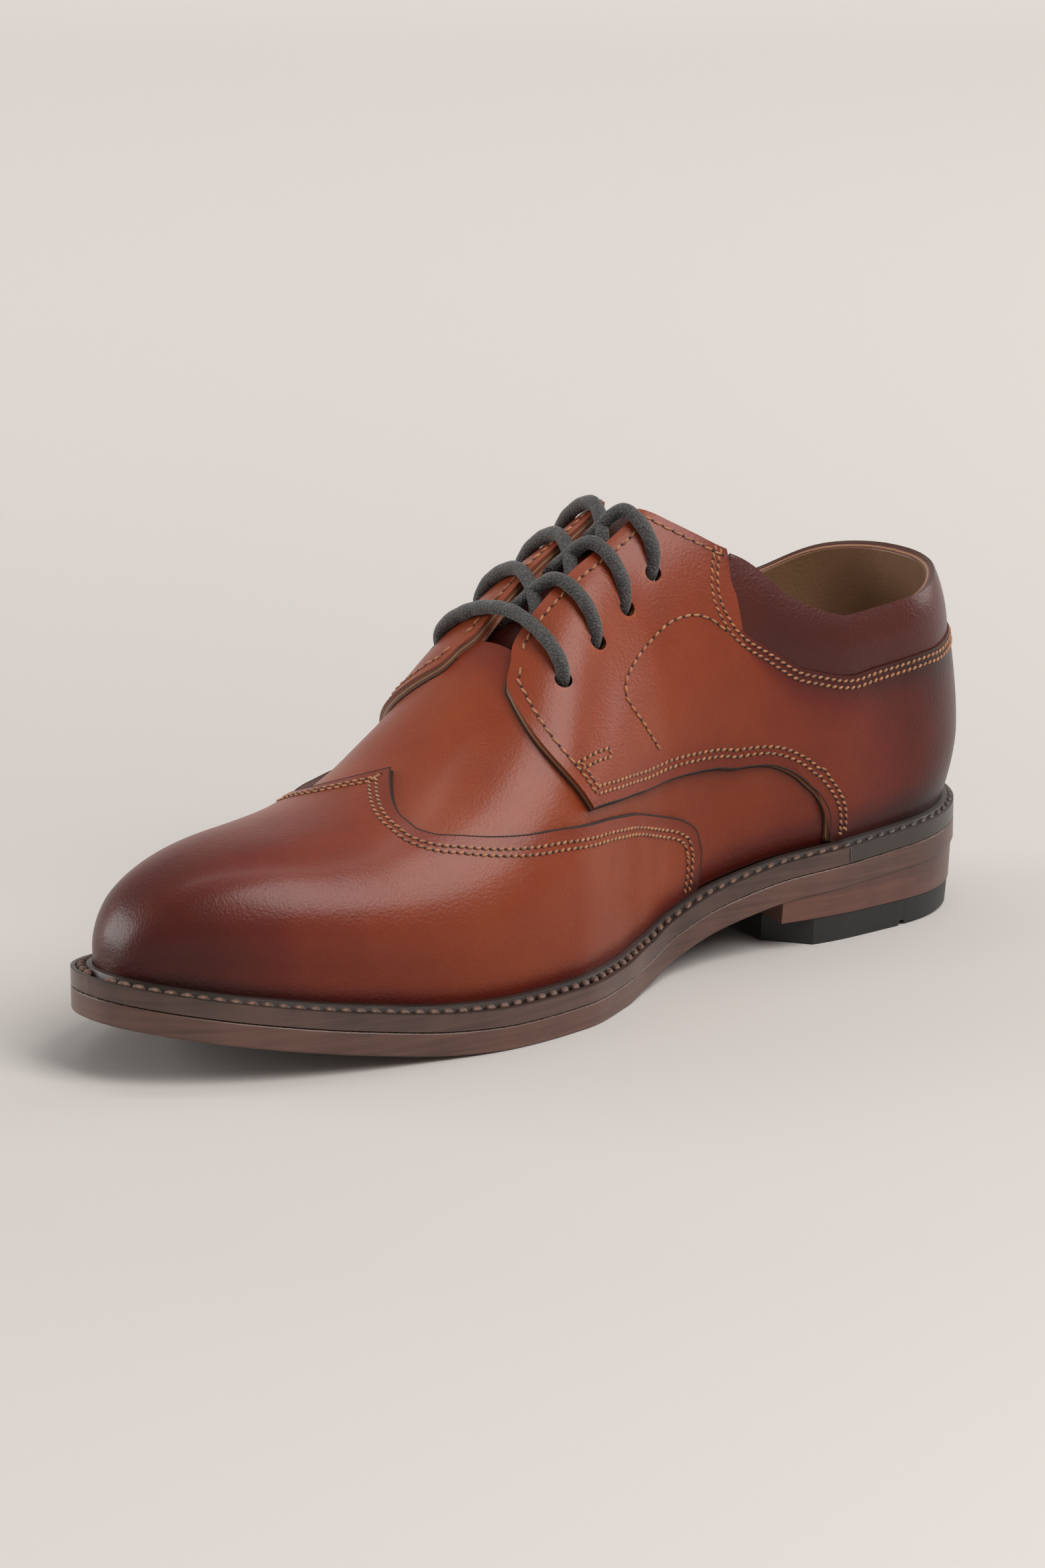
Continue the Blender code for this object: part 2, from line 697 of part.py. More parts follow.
def lace_crossing(look, number):
    """Two runs that cross over the gap, joined where they meet."""
    hole = HOLES[number]
    runs = []
    for side in (1, -1):

        def centre(along, side=side):
            return run_point(side, hole, CROSSING_RUN, along)

        name = f"lace_crossing_{number}" if side > 0 else f"crossing_helper_{number}"
        runs.append(tube(name, look, centre, LACE_DIAMETER / 2, 10, 6))
    whole, helper = runs
    helper.hide_render = True
    helper.display_type = "WIRE"
    join = whole.modifiers.new("join", "BOOLEAN")
    join.operation = "UNION"
    join.solver = "EXACT"
    join.object = helper
    return whole


for item in list(bpy.data.objects):
    bpy.data.objects.remove(item, do_unlink=True)

tan = material("tan leather", (0.36, 0.12, 0.045), 0.35)
lining = material("lining leather", (0.42, 0.24, 0.13), 0.6)
dark = material("dark leather", (0.09, 0.03, 0.02), 0.35)
edge = material("dark welt", (0.06, 0.03, 0.02), 0.5)
sole = material("brown rubber", (0.16, 0.11, 0.085), 0.7)
stack = material("heel leather", (0.22, 0.08, 0.04), 0.5)
black = material("black rubber", (0.02, 0.02, 0.02), 0.7)
cord = material("waxed lace", (0.045, 0.045, 0.045), 0.7)
outsole(sole)
welt(edge)
heel_stack(stack)
heel_top_piece(black)
insole(lining)
upper(tan)
wing_cap(tan)
quarters(tan)
collar_panel(dark)
tongue(dark)
lace_bar(cord)
for number in (1, 2, 3):
    lace_crossing(cord, number)
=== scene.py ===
"""Looks of a right shoe with a wing-shaped toe cap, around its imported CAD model.

Metres, +Z up, toe towards -Y, heel towards +Y, inner (big toe) side towards +X.
"""

from collections import namedtuple
from functools import lru_cache
from itertools import product
from math import acos, cos, exp, hypot, pi, radians, sin

import bmesh
import bpy
from mathutils import Matrix, Vector
from mathutils.kdtree import KDTree


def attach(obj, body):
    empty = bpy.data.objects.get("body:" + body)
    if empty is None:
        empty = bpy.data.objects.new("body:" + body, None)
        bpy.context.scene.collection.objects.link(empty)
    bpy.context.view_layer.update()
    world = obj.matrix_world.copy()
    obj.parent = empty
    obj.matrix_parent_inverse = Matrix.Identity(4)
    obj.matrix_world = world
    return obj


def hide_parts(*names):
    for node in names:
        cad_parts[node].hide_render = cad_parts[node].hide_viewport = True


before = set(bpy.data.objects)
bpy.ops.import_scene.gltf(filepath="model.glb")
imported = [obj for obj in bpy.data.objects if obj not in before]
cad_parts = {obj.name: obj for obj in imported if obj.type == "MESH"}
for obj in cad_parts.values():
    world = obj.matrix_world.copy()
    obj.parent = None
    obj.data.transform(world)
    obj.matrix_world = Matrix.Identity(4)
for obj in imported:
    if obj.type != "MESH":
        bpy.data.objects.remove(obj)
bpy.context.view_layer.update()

# Camera, floor and light. The eye stands in front of the shoe's inner side and a
# little above it, as the photo's does, and the lens is long enough for the one shoe.

EYE = Vector((1.1455, -0.9863, 0.4566))
AIM = Vector((0.006, -0.006, 0.0560))


def shown(name, data):
    """A new object in the scene."""
    made = bpy.data.objects.new(name, data)
    bpy.context.scene.collection.objects.link(made)
    return made


def aimed(thing, place, aim):
    """Puts a camera or a light in its place and turns it to what it aims at."""
    thing.location = place
    thing.rotation_euler = (Vector(aim) - Vector(place)).to_track_quat("-Z", "Y").to_euler()


camera_data = bpy.data.cameras.new("camera")
camera_data.lens = 128.5
camera_data.sensor_width = 36.0
camera_data.clip_end = 50.0
camera = shown("camera", camera_data)
aimed(camera, EYE, AIM)
bpy.context.scene.camera = camera


def node(tree, kind, inputs=None, **settings):
    """A shader node with its settings, each input given a value or a socket."""
    made = tree.nodes.new(kind)
    for key, value in settings.items():
        setattr(made, key, value)
    for key, value in (inputs or {}).items():
        if isinstance(value, bpy.types.NodeSocket):
            tree.links.new(value, made.inputs[key])
        else:
            made.inputs[key].default_value = value
    return made


def new_look(name, roughness, **values):
    """(material, its tree, its shader) with plain values on the shader's own sockets."""
    look = bpy.data.materials.new(name)
    look.use_nodes = True
    shader = look.node_tree.nodes["Principled BSDF"]
    shader.inputs["Roughness"].default_value = roughness
    for key, value in values.items():
        shader.inputs[key.replace("_", " ")].default_value = value
    return look, look.node_tree, shader


def object_place(tree):
    """The socket of a place in the object's own coordinates."""
    return node(tree, "ShaderNodeTexCoord").outputs["Object"]


def mapped(tree, value, **ends):
    """A value's socket, stretched between ends such as From_Min or To_Max."""
    inputs = {key.replace("_", " "): end for key, end in ends.items()}
    return node(tree, "ShaderNodeMapRange", {"Value": value, **inputs}).outputs["Result"]


def mixed(tree, factor, first, second):
    """The socket of a colour between two, by a factor's socket."""
    inputs = {"Factor": factor, "A": first, "B": second}
    return node(tree, "ShaderNodeMix", inputs, data_type="RGBA").outputs["Result"]


def as_data(name, mesh):
    """A mesh for an object from a bmesh, which is freed."""
    data = bpy.data.meshes.new(name)
    mesh.to_mesh(data)
    mesh.free()
    return data


FLOOR_HALF_WIDTH = 6.0
FLOOR_FRONT = 3.0
FLOOR_DEPTH = 5.0
BACKDROP_BEND = 2.0
BACKDROP_HEIGHT = 3.5
floor_mesh = bmesh.new()
bmesh.ops.create_grid(floor_mesh, x_segments=1, y_segments=60, size=1.0)
for vertex in floor_mesh.verts:
    run = (1 - vertex.co.y) / 2
    bend = max(run - 0.5, 0.0) * pi
    back = 2 * FLOOR_DEPTH * min(run, 0.5) + BACKDROP_BEND * sin(bend)
    height = BACKDROP_HEIGHT * (1 - cos(bend))
    vertex.co = Vector((vertex.co.x * FLOOR_HALF_WIDTH, FLOOR_FRONT - back, height))
turn_to_eye = Matrix.Rotation(radians(46.1) + pi, 4, "Z")
bmesh.ops.transform(floor_mesh, matrix=turn_to_eye, verts=floor_mesh.verts[:])
floor_data = as_data("floor", floor_mesh)
floor_data.shade_smooth()
floor_look, floor_tree, floor_shader = new_look("pale paper", 0.85)
# painted shade: the floor is darker near the shoe and paler far off, to even out the softboxes' pool of
# light round the shoe
floor_inputs = {0: object_place(floor_tree)}
floor_reach = node(floor_tree, "ShaderNodeVectorMath", floor_inputs, operation="LENGTH")
floor_shade_fade = mapped(floor_tree, floor_reach.outputs["Value"], From_Min=0.25, From_Max=2.2)
floor_tone = mixed(floor_tree, floor_shade_fade, (0.500, 0.478, 0.462, 1), (0.860, 0.825, 0.800, 1))
floor_tree.links.new(floor_tone, floor_shader.inputs["Base Color"])
floor_data.materials.append(floor_look)
shown("floor", floor_data)

bpy.context.scene.view_settings.view_transform = "Standard"
world = bpy.data.worlds.new("studio")
bpy.context.scene.world = world
world.use_nodes = True
sky = world.node_tree.nodes["Background"]
sky.inputs["Color"].default_value = (0.93, 0.91, 0.89, 1)
sky.inputs["Strength"].default_value = 0.40


def softbox(name, place, aim, width, height, power):
    """A large soft light, in metres and watts, that shines on what it aims at."""
    data = bpy.data.lights.new(name, "AREA")
    data.shape = "RECTANGLE"
    data.size = width
    data.size_y = height
    data.energy = power
    data.color = (1.0, 0.975, 0.95)
    aimed(shown(name, data), place, aim)


softbox("top", (1.0, 0.2, 1.38), (0, 0, 0.05), 0.9, 1.4, 28)
softbox("toe", (-1.45, -1.35, 0.55), (0, -0.1, 0.05), 1.4, 0.9, 22)
softbox("back", (0.5, 1.9, 0.75), (0, 0.1, 0.06), 1.0, 1.0, 11)
softbox("backdrop", (-0.5, 0.5, 2.5), (-2.4, 2.3, 0.6), 2.0, 1.0, 26)

# Outsole: a plate of brown rubber with a plain rim and a pebbled tread, its edge
# painted red brown. All the sole's pieces share one outline, worked out here.

SOLE_LENGTH = 0.305
BALL_WIDTH = 0.111
OUTSOLE_THICK = 0.0065
WELT_THICK = 0.0055
HEEL_RISE = 0.020
TOE_SPRING = 0.016
TOE_ROUND = 0.121
SEAT_ROUND = 0.042
TOE_POWER = 2.08
SEAT_POWER = 2.12
WELT_REACH = 0.0063
CLEARANCE = 0.0005

# at: share of SOLE_LENGTH; inner, outer: edge of the sole, shares of BALL_WIDTH;
# reach: welt beyond the upper; ridge, lean, belly, swell, arch_in, arch_out: the last.
Section = namedtuple("Section", "at inner outer reach ridge lean belly swell arch_in arch_out")
SECTIONS = (
    Section(0.00, 0.346, 0.323, 0.60, 1.180, 0.000, 0.22, 0.032, 2.00, 2.00),
    Section(0.10, 0.359, 0.348, 0.60, 1.210, 0.000, 0.22, 0.036, 2.00, 1.90),
    Section(0.20, 0.355, 0.384, 0.60, 1.195, 0.000, 0.21, 0.036, 2.00, 1.90),
    Section(0.30, 0.310, 0.399, 0.62, 1.140, 0.004, 0.19, 0.032, 2.00, 1.95),
    Section(0.36, 0.291, 0.418, 0.66, 1.085, 0.009, 0.17, 0.027, 2.00, 2.00),
    Section(0.41, 0.298, 0.440, 0.70, 1.040, 0.014, 0.16, 0.025, 2.00, 2.02),
    Section(0.46, 0.347, 0.466, 0.76, 0.995, 0.018, 0.14, 0.022, 2.00, 2.05),
    Section(0.51, 0.416, 0.491, 0.86, 0.910, 0.022, 0.13, 0.020, 2.02, 2.08),
    Section(0.58, 0.486, 0.510, 0.95, 0.725, 0.029, 0.12, 0.019, 2.06, 2.11),
    Section(0.66, 0.501, 0.499, 0.98, 0.540, 0.036, 0.11, 0.018, 2.10, 2.15),
    Section(0.76, 0.478, 0.466, 1.00, 0.420, 0.036, 0.10, 0.014, 2.20, 2.20),
    Section(0.86, 0.461, 0.446, 1.00, 0.350, 0.036, 0.09, 0.011, 2.30, 2.30),
    Section(1.00, 0.445, 0.434, 1.00, 0.290, 0.036, 0.09, 0.009, 2.30, 2.30),
)
Rise = namedtuple("Rise", "at heel toe")
RISES = (
    Rise(0.00, 1.000, 0.000),
    Rise(0.15, 0.860, 0.000),
    Rise(0.27, 0.730, 0.000),
    Rise(0.36, 0.470, 0.000),
    Rise(0.46, 0.070, 0.000),
    Rise(0.52, 0.000, 0.000),
    Rise(0.66, 0.000, 0.000),
    Rise(0.72, 0.000, 0.050),
    Rise(0.80, 0.000, 0.260),
    Rise(0.90, 0.000, 0.605),
    Rise(1.00, 0.000, 1.000),
)


def numbered(kind, *rows):
    """A table's rows with their own numbers as places."""
    return tuple(kind(at, *row) for at, row in enumerate(rows))


known = {}


def hermite(rows, column, at):
    """Value of a table's column at a place, kept once it has been worked out."""
    key = id(rows), column, at
    if key not in known:
        known[key] = through_rows(rows, column, at)
    return known[key]


def through_rows(rows, column, at):
    """Value of a table's column at a place, on a smooth curve through its rows."""
    places = [row.at for row in rows]
    values = [getattr(row, column) for row in rows]
    at = min(max(at, places[0]), places[-1])
    i = max(k for k in range(len(rows) - 1) if places[k] <= at)
    slopes = []
    for k in (i, i + 1):
        if k in (0, len(rows) - 1):
            near = min(max(k, 1), len(rows) - 1)
            slopes.append((values[near] - values[near - 1]) / (places[near] - places[near - 1]))
            continue
        before = (values[k] - values[k - 1]) / (places[k] - places[k - 1])
        after = (values[k + 1] - values[k]) / (places[k + 1] - places[k])
        slopes.append(0.0 if before * after <= 0 else 2 * before * after / (before + after))
    width = places[i + 1] - places[i]
    t = (at - places[i]) / width
    return (
        values[i] * (1 + 2 * t) * (1 - t) ** 2
        + values[i + 1] * t * t * (3 - 2 * t)
        + width * (slopes[0] * t * (1 - t) ** 2 - slopes[1] * t * t * (1 - t))
    )


def closing(distance, depth, power):
    """1 away from an end, falling to 0 at the end on a rounded curve."""
    y = min(max((depth - distance) / depth, 0.0), 1.0)
    return max(1 - y**power, 0.0) ** (1 / power)


def smooth(low, high, value):
    t = min(max((value - low) / (high - low), 0.0), 1.0)
    return t * t * (3 - 2 * t)


def underside(station):
    at = station / SOLE_LENGTH
    return HEEL_RISE * hermite(RISES, "heel", at) + TOE_SPRING * hermite(RISES, "toe", at)


def welt_top(station):
    return underside(station) + OUTSOLE_THICK + WELT_THICK


def ends(inset, reach):
    """Insets at the back of the heel and at the tip of the toe."""
    back, tip = SECTIONS[0].reach, SECTIONS[-1].reach
    return inset + reach * WELT_REACH * back, inset + reach * WELT_REACH * tip


def outline(side, share, inset, reach=0.0):
    """(half width, station) of an outline inset from the sole's edge."""
    back, tip = ends(inset, reach)
    station = back + share * (SOLE_LENGTH - back - tip)
    at = station / SOLE_LENGTH
    column = "inner" if side > 0 else "outer"
    margin = inset + reach * WELT_REACH * hermite(SECTIONS, "reach", at)
    width = BALL_WIDTH * hermite(SECTIONS, column, at) - margin
    width *= closing(SOLE_LENGTH - tip - station, TOE_ROUND - tip, TOE_POWER)
    width *= closing(station - back, SEAT_ROUND - back, SEAT_POWER)
    return width, station


inner_half, outer_half = (max(outline(side, i / 200, 0.0)[0] for i in range(201)) for side in (1, -1))
CENTRE_X = (inner_half - outer_half) / 2


def placed(x, station, z):
    """Point from the sole's own coordinates in the shoe's frame."""
    return Vector((x - CENTRE_X, SOLE_LENGTH / 2 - station, z))


def eased(u, evenness=0.35):
    """Spacing that is finer near 0, for a rounded end there."""
    return evenness * u + (1 - evenness) * (1 - cos(pi * u / 2))


def both_ends(u, evenness=0.18):
    """Spacing that is finer near 0 and near 1."""
    return evenness * u + (1 - evenness) * (1 - cos(pi * u)) / 2


def finished(name, mesh, looks, edge=0.0, stands_for=()):
    """A piece from a closed bmesh, its edges rounded, that rides on the shoe."""
    data = as_data(name, mesh)
    for look in looks:
        data.materials.append(look)
    data.shade_smooth()
    made = shown(name, data)
    if edge:
        rounding = made.modifiers.new("rounding", "BEVEL")
        rounding.width = edge
        rounding.segments = 2
        rounding.limit_method = "ANGLE"
        rounding.angle_limit = radians(40)
        rounding.use_clamp_overlap = True
        rounding.harden_normals = True
    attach(made, "root")
    if stands_for:
        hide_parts(*stands_for)
    return made


def wall(rows, columns, place, keep=None, paint=None):
    """Closed bmesh between place(along, across, 0) and place(along, across, 1).

    Its vertices carry level, which runs from 0 to 1 over the cut edges, and burnish_and_shade, which
    darkens the colour: burnishing and painted shade on the leather, marks on the sole.
    """
    mesh = bmesh.new()
    names = "along", "across", "level", "burnish_and_shade"
    along, across, level, burnish_and_shade = [mesh.verts.layers.float.new(name) for name in names]
    bmesh.ops.create_grid(mesh, x_segments=rows, y_segments=columns, size=1.0)
    for vertex in mesh.verts:
        vertex[along] = (vertex.co.x + 1) / 2
        vertex[across] = vertex.co.y
    if keep:
        middles = [(face, face.calc_center_median()) for face in mesh.faces]
        dropped = [face for face, middle in middles if not keep((middle.x + 1) / 2, middle.y)]
        bmesh.ops.delete(mesh, geom=dropped, context="FACES")
    for vertex in mesh.verts:
        vertex.co = place(vertex[along], vertex[across], 0)
    bmesh.ops.remove_doubles(mesh, verts=mesh.verts[:], dist=1e-6)
    grown = bmesh.ops.extrude_face_region(mesh, geom=mesh.faces[:], use_keep_orig=True)
    for item in grown["geom"]:
        if isinstance(item, bmesh.types.BMVert):
            item.co = place(item[along], item[across], 1)
            item[level] = 1.0
    if paint:
        for vertex in mesh.verts:
            vertex[burnish_and_shade] = paint(vertex[along], vertex[across])
    bmesh.ops.recalc_face_normals(mesh, faces=mesh.faces[:])
    return mesh


def face_levels(mesh):
    """Faces of a wall as (inner side, outer side, cut edges)."""
    level = mesh.verts.layers.float["level"]
    found = ([], [], [])
    for face in mesh.faces:
        mean = sum(vertex[level] for vertex in face.verts) / len(face.verts)
        found[0 if mean < 0.01 else 1 if mean > 0.99 else 2].append(face)
    return found


def attribute(tree, name):
    """The socket of a value that a mesh's vertices carry."""
    return node(tree, "ShaderNodeAttribute", attribute_name=name).outputs["Fac"]


def noise(tree, place, scale, detail, **more):
    """The socket of a noise pattern's value at a place."""
    inputs = {"Vector": place, "Scale": scale, "Detail": detail, **more}
    return node(tree, "ShaderNodeTexNoise", inputs).outputs["Fac"]


def combined(tree, operation, first, second, kind="Math"):
    """The socket of two values or vectors under an operation."""
    return node(tree, "ShaderNode" + kind, {0: first, 1: second}, operation=operation).outputs[0]


def graded(tree, factor, *stops):
    """The socket of a colour that a factor picks on a way through (position, colour)."""
    ramp = node(tree, "ShaderNodeValToRGB", {"Fac": factor})
    elements = ramp.color_ramp.elements
    for end, (at, colour) in zip(elements, (stops[0], stops[-1])):
        end.position = at
        end.color = (*colour, 1)
    for at, colour in stops[1:-1]:
        elements.new(at).color = (*colour, 1)
    return ramp.outputs["Color"]


def bumped(tree, height, strength, distance, invert=False, **more):
    """The socket of the normals of a surface raised by a height's socket."""
    inputs = {"Height": height, "Strength": strength, "Distance": distance, **more}
    return node(tree, "ShaderNodeBump", inputs, invert=invert).outputs["Normal"]


def surfaced(tree, shader, colour, normal):
    """Gives a shader the sockets of its colour and its normals."""
    tree.links.new(colour, shader.inputs["Base Color"])
    tree.links.new(normal, shader.inputs["Normal"])


def edge_paint(name, colour, streak, roughness):
    """Painted sole edge: a smooth brown coat with long streaks of darker paint."""
    look, tree, shader = new_look(name, roughness, Coat_Weight=0.12, Coat_Roughness=0.3)
    place = object_place(tree)
    spread = node(tree, "ShaderNodeMapping", {"Vector": place, "Scale": (22, 22, 700)})
    streaks = noise(tree, spread.outputs["Vector"], 1.0, 5.0, Roughness=0.62)
    both = combined(tree, "ADD", streaks, noise(tree, place, 45.0, 3.0))
    half = combined(tree, "MULTIPLY", both, 0.5)
    tone = graded(tree, half, (0.36, streak), (0.60, colour))
    darker = mixed(tree, attribute(tree, "burnish_and_shade"), tone, (0.030, 0.025, 0.022, 1))
    surfaced(tree, shader, darker, bumped(tree, streaks, 0.30, 0.0003))
    return look


def pebbled_rubber():
    """Brown rubber with short crackled ridges, plain and redder along its rim."""
    look, tree, shader = new_look("pebbled rubber", 0.62)
    place = object_place(tree)
    bend = node(tree, "ShaderNodeTexNoise", {"Vector": place, "Scale": 260.0, "Detail": 2.0})
    bent = combined(tree, "MULTIPLY", bend.outputs["Color"], (0.0032, 0.0032, 0.0), "VectorMath")
    cell_inputs = {"Vector": combined(tree, "ADD", place, bent, "VectorMath"), "Scale": 430.0}
    cells = node(tree, "ShaderNodeTexVoronoi", cell_inputs, feature="DISTANCE_TO_EDGE")
    ridge = mapped(tree, cells.outputs["Distance"], From_Min=0.02, From_Max=0.16)
    at_rim = attribute(tree, "burnish_and_shade")
    plain = combined(tree, "MAXIMUM", ridge, at_rim)
    tread = mixed(tree, plain, (0.085, 0.055, 0.042, 1), (0.165, 0.115, 0.092, 1))
    all_over = mixed(tree, at_rim, tread, (0.23, 0.10, 0.045, 1))
    surfaced(tree, shader, all_over, bumped(tree, plain, 0.9, 0.0006))
    return look


def plate_point(share, across, inset, reach, height):
    width, station = outline(1 if across > 0 else -1, share, inset, reach)
    return placed(across * width, station, height(station))


TREAD_RIM = 0.006


def outsole_point(along, across, level):
    def height(station):
        return underside(station) + level * (OUTSOLE_THICK + CLEARANCE * 0.4)

    inset = TREAD_RIM * min((1 - abs(across)) * 3, 1.0)
    spread = min(abs(across) * 1.5, 1.0) * (1 if across > 0 else -1)
    return plate_point(both_ends(along), spread, inset, 0.0, height)


outsole_mesh = wall(
    150,
    18,
    outsole_point,
    paint=lambda along, across: smooth(0.60, 0.76, abs(across)) * (abs(across) < 0.999),
)
for face in face_levels(outsole_mesh)[2]:
    face.material_index = 1
outsole_paint = edge_paint("outsole edge", (0.120, 0.056, 0.040), (0.058, 0.027, 0.020), 0.42)
finished(
    "outsole_dressed",
    outsole_mesh,
    (pebbled_rubber(), outsole_paint),
    edge=0.0006,
    stands_for=("outsole",),
)

# Welt: a leather strip stitched to the upper all round, with a raised lip against the
# foot, a dark painted edge and a row of thick stitches in the groove on top of it.

LIP_HEIGHT = 0.0014
GROOVE_DEEP = 0.0012
WELT_PROFILE = (
    # from the edge inwards: inset, share of the reach, height
    (0.0, 0.0, -0.0003),
    (0.0006, 0.0, 0.0),
    (0.0013, 0.0, 0.0),
    (0.0019, 0.0, -GROOVE_DEEP),
    (-0.0026, 1.0, -GROOVE_DEEP),
    (-0.0018, 1.0, LIP_HEIGHT * 0.7),
    (-0.0009, 1.0, LIP_HEIGHT),
    (-0.0002, 1.0, LIP_HEIGHT),
    (0.0006, 1.0, 0.0),
    (0.012, 1.0, 0.0),
    (0.014, 1.0, 0.0),
)


def welt_point(along, across, level):
    half = len(WELT_PROFILE) - 1
    column = round((1 - abs(across)) * half)
    inset, reach, high = WELT_PROFILE[column]
    width, station = outline(1 if across > 0 else -1, both_ends(along), inset, reach)
    top = welt_top(station) + high
    bottom = underside(station) + OUTSOLE_THICK + CLEARANCE
    x = 0.0 if column == half else width
    return placed(x if across > 0 else -x, station, top if level else bottom)


WELT_CUT = 0.064  # station of the butt cut, where the darker strip round the heel starts


def welt_paint(along, across):
    _, station = outline(1, both_ends(along), 0.0)
    return 0.85 * smooth(WELT_CUT + 0.0005, WELT_CUT - 0.0005, station)


welt_mesh = wall(220, 2 * (len(WELT_PROFILE) - 1), welt_point, None, welt_paint)
welt_edge = edge_paint("welt edge", (0.090, 0.047, 0.036), (0.040, 0.022, 0.018), 0.34)
welt_top_paint = edge_paint("welt top", (0.030, 0.014, 0.010), (0.010, 0.006, 0.005), 0.45)
for face in face_levels(welt_mesh)[1]:
    face.material_index = 1
finished(
    "welt_dressed",
    welt_mesh,
    (welt_edge, welt_top_paint),
    edge=0.0003,
    stands_for=("welt",),
)


def thread(name, colour, roughness=0.5):
    """Twisted polyester thread, a little darker in places."""
    look, tree, shader = new_look(name, roughness, Sheen_Weight=0.2)
    shade = noise(tree, object_place(tree), 700.0, 2.0)
    tone = graded(tree, shade, (0.3, [0.45 * part for part in colour]), (0.62, colour))
    surfaced(tree, shader, tone, bumped(tree, shade, 0.5, 0.0002))
    return look


ball = bmesh.new()
bmesh.ops.create_uvsphere(ball, u_segments=6, v_segments=4, radius=1.0)
ball.verts.index_update()
BALL_POINTS = [vertex.co.copy() for vertex in ball.verts]
BALL_FACES = [[vertex.index for vertex in face.verts] for face in ball.faces]
ball.free()
Beads = namedtuple("Beads", "points faces looks")


def stitches(beads, course, pitch, long, wide, high, slant=0.0, shift=0.5, look=0):
    """Adds a row of stitches to beads, along a course of (point, normal) pairs."""
    lengths = [0.0]
    for before, after in zip(course, course[1:]):
        lengths.append(lengths[-1] + (after[0] - before[0]).length)
    count = max(int(lengths[-1] / pitch), 1)
    k = 0
    for i in range(count):
        reach = (i + shift) * lengths[-1] / count
        while k < len(lengths) - 2 and lengths[k + 1] < reach:
            k += 1
        (start, up_start), (end, up_end) = course[k], course[k + 1]
        part = (reach - lengths[k]) / max(lengths[k + 1] - lengths[k], 1e-9)
        point = start.lerp(end, part)
        up = up_start.lerp(up_end, part).normalized()
        ahead = (end - start).normalized()
        beside = up.cross(ahead).normalized()
        ahead = (ahead * cos(slant) + beside * sin(slant)).normalized()
        beside = up.cross(ahead).normalized()
        turn = Matrix((ahead * long / 2, beside * wide / 2, up * high / 2)).transposed().to_4x4()
        turn.translation = point
        first = len(beads.points)
        beads.points.extend([turn @ corner for corner in BALL_POINTS])
        beads.faces.extend([[first + corner for corner in face] for face in BALL_FACES])
        beads.looks.extend([look] * len(BALL_FACES))


def threaded(beads):
    """The beads as one bmesh."""
    data = bpy.data.meshes.new("beads")
    data.from_pydata(beads.points, [], beads.faces)
    data.polygons.foreach_set("material_index", beads.looks)
    mesh = bmesh.new()
    mesh.from_mesh(data)
    bpy.data.meshes.remove(data)
    return mesh


WELT_STITCH_PITCH = 0.0043
WELT_CUT_TALL = 0.0052
WELT_CUT_WIDE = 0.0007


def welt_course(side):
    """The middle of the welt's groove, from the back of the heel to the toe."""
    course = []
    for i in range(400):
        share = 0.002 + 0.996 * i / 399
        inner, station = outline(side, both_ends(share, 0.3), -0.0022, 1.0)
        outer, outer_station = outline(side, both_ends(share, 0.3), 0.0017)
        width, station = (inner + outer) / 2, (station + outer_station) / 2
        point = placed(side * width, station, welt_top(station) - 0.0003)
        course.append((point, Vector((0, 0, 1))))
    return course


welt_thread = thread("welt thread", (0.13, 0.058, 0.032), 0.5)
dark_thread = thread("dark thread", (0.045, 0.026, 0.018), 0.45)
welt_beads = Beads([], [], [])
for side in (1, -1):
    stitches(welt_beads, welt_course(side), WELT_STITCH_PITCH, 0.0041, 0.0023, 0.0022, 0.5 * side)
    # the butt cut: a thin dark line down the welt's edge
    cut_half, cut_station = outline(side, WELT_CUT / SOLE_LENGTH, 0.0)
    out = Vector((side, 0, 0))
    cut_course = []
    for down in (WELT_CUT_TALL, 0.0):
        point = placed(side * cut_half, cut_station, welt_top(cut_station) - down)
        cut_course.append((point, out))
    cut_long = WELT_CUT_TALL + 0.0002
    stitches(welt_beads, cut_course, WELT_CUT_TALL, cut_long, WELT_CUT_WIDE, 0.0005, look=1)
welt_stitch_mesh = threaded(welt_beads)
for face in welt_stitch_mesh.faces:
    if face.calc_center_median().y > SOLE_LENGTH / 2 - WELT_CUT - 0.001:
        face.material_index = 1
finished("welt_stitches", welt_stitch_mesh, (welt_thread, dark_thread))

# Heel: a stack of leather lifts under the seat, painted, and a black rubber top piece
# with one front corner cut off, fine ribs at the back and brass nails.

HEEL_LENGTH = 0.086
BREAST_HOLLOW = 0.005
TOP_PIECE_THICK = 0.0078
TOP_PIECE_SET_IN = 0.0015
HEEL_SET_IN = 0.0006
CORNER_CUT = 0.011


def heel_point(along, across, inset, z, cut=0.0):
    """Point of the heel's outline, from the back (along 0) to the hollow breast (1)."""
    _, station = outline(1, 0.0, inset)
    breast = HEEL_LENGTH - BREAST_HOLLOW * (1 - across * across)
    breast -= cut * max(3 * across - 2, 0.0)
    station += eased(along) * (breast - station)
    share = (station - inset) / (SOLE_LENGTH - 2 * inset)
    width, _ = outline(1 if across > 0 else -1, share, inset)
    return placed(across * width, station, z(station))


def stack_point(along, across, level):
    def height(station):
        return underside(station) if level else TOP_PIECE_THICK + CLEARANCE * 0.4

    return heel_point(along, across, HEEL_SET_IN + (1 - level) * HEEL_SET_IN, height)


stack_paint = edge_paint("stack edge", (0.135, 0.054, 0.038), (0.060, 0.026, 0.020), 0.4)
finished(
    "heel_stack_dressed",
    wall(60, 30, stack_point),
    (stack_paint,),
    edge=0.0004,
    stands_for=("heel_stack",),
)

RIB_DEEP = 0.0006
RIBS_FROM = 0.0405  # from the back of the heel, where the ribs end in front
GROOVE_AT = 0.0415


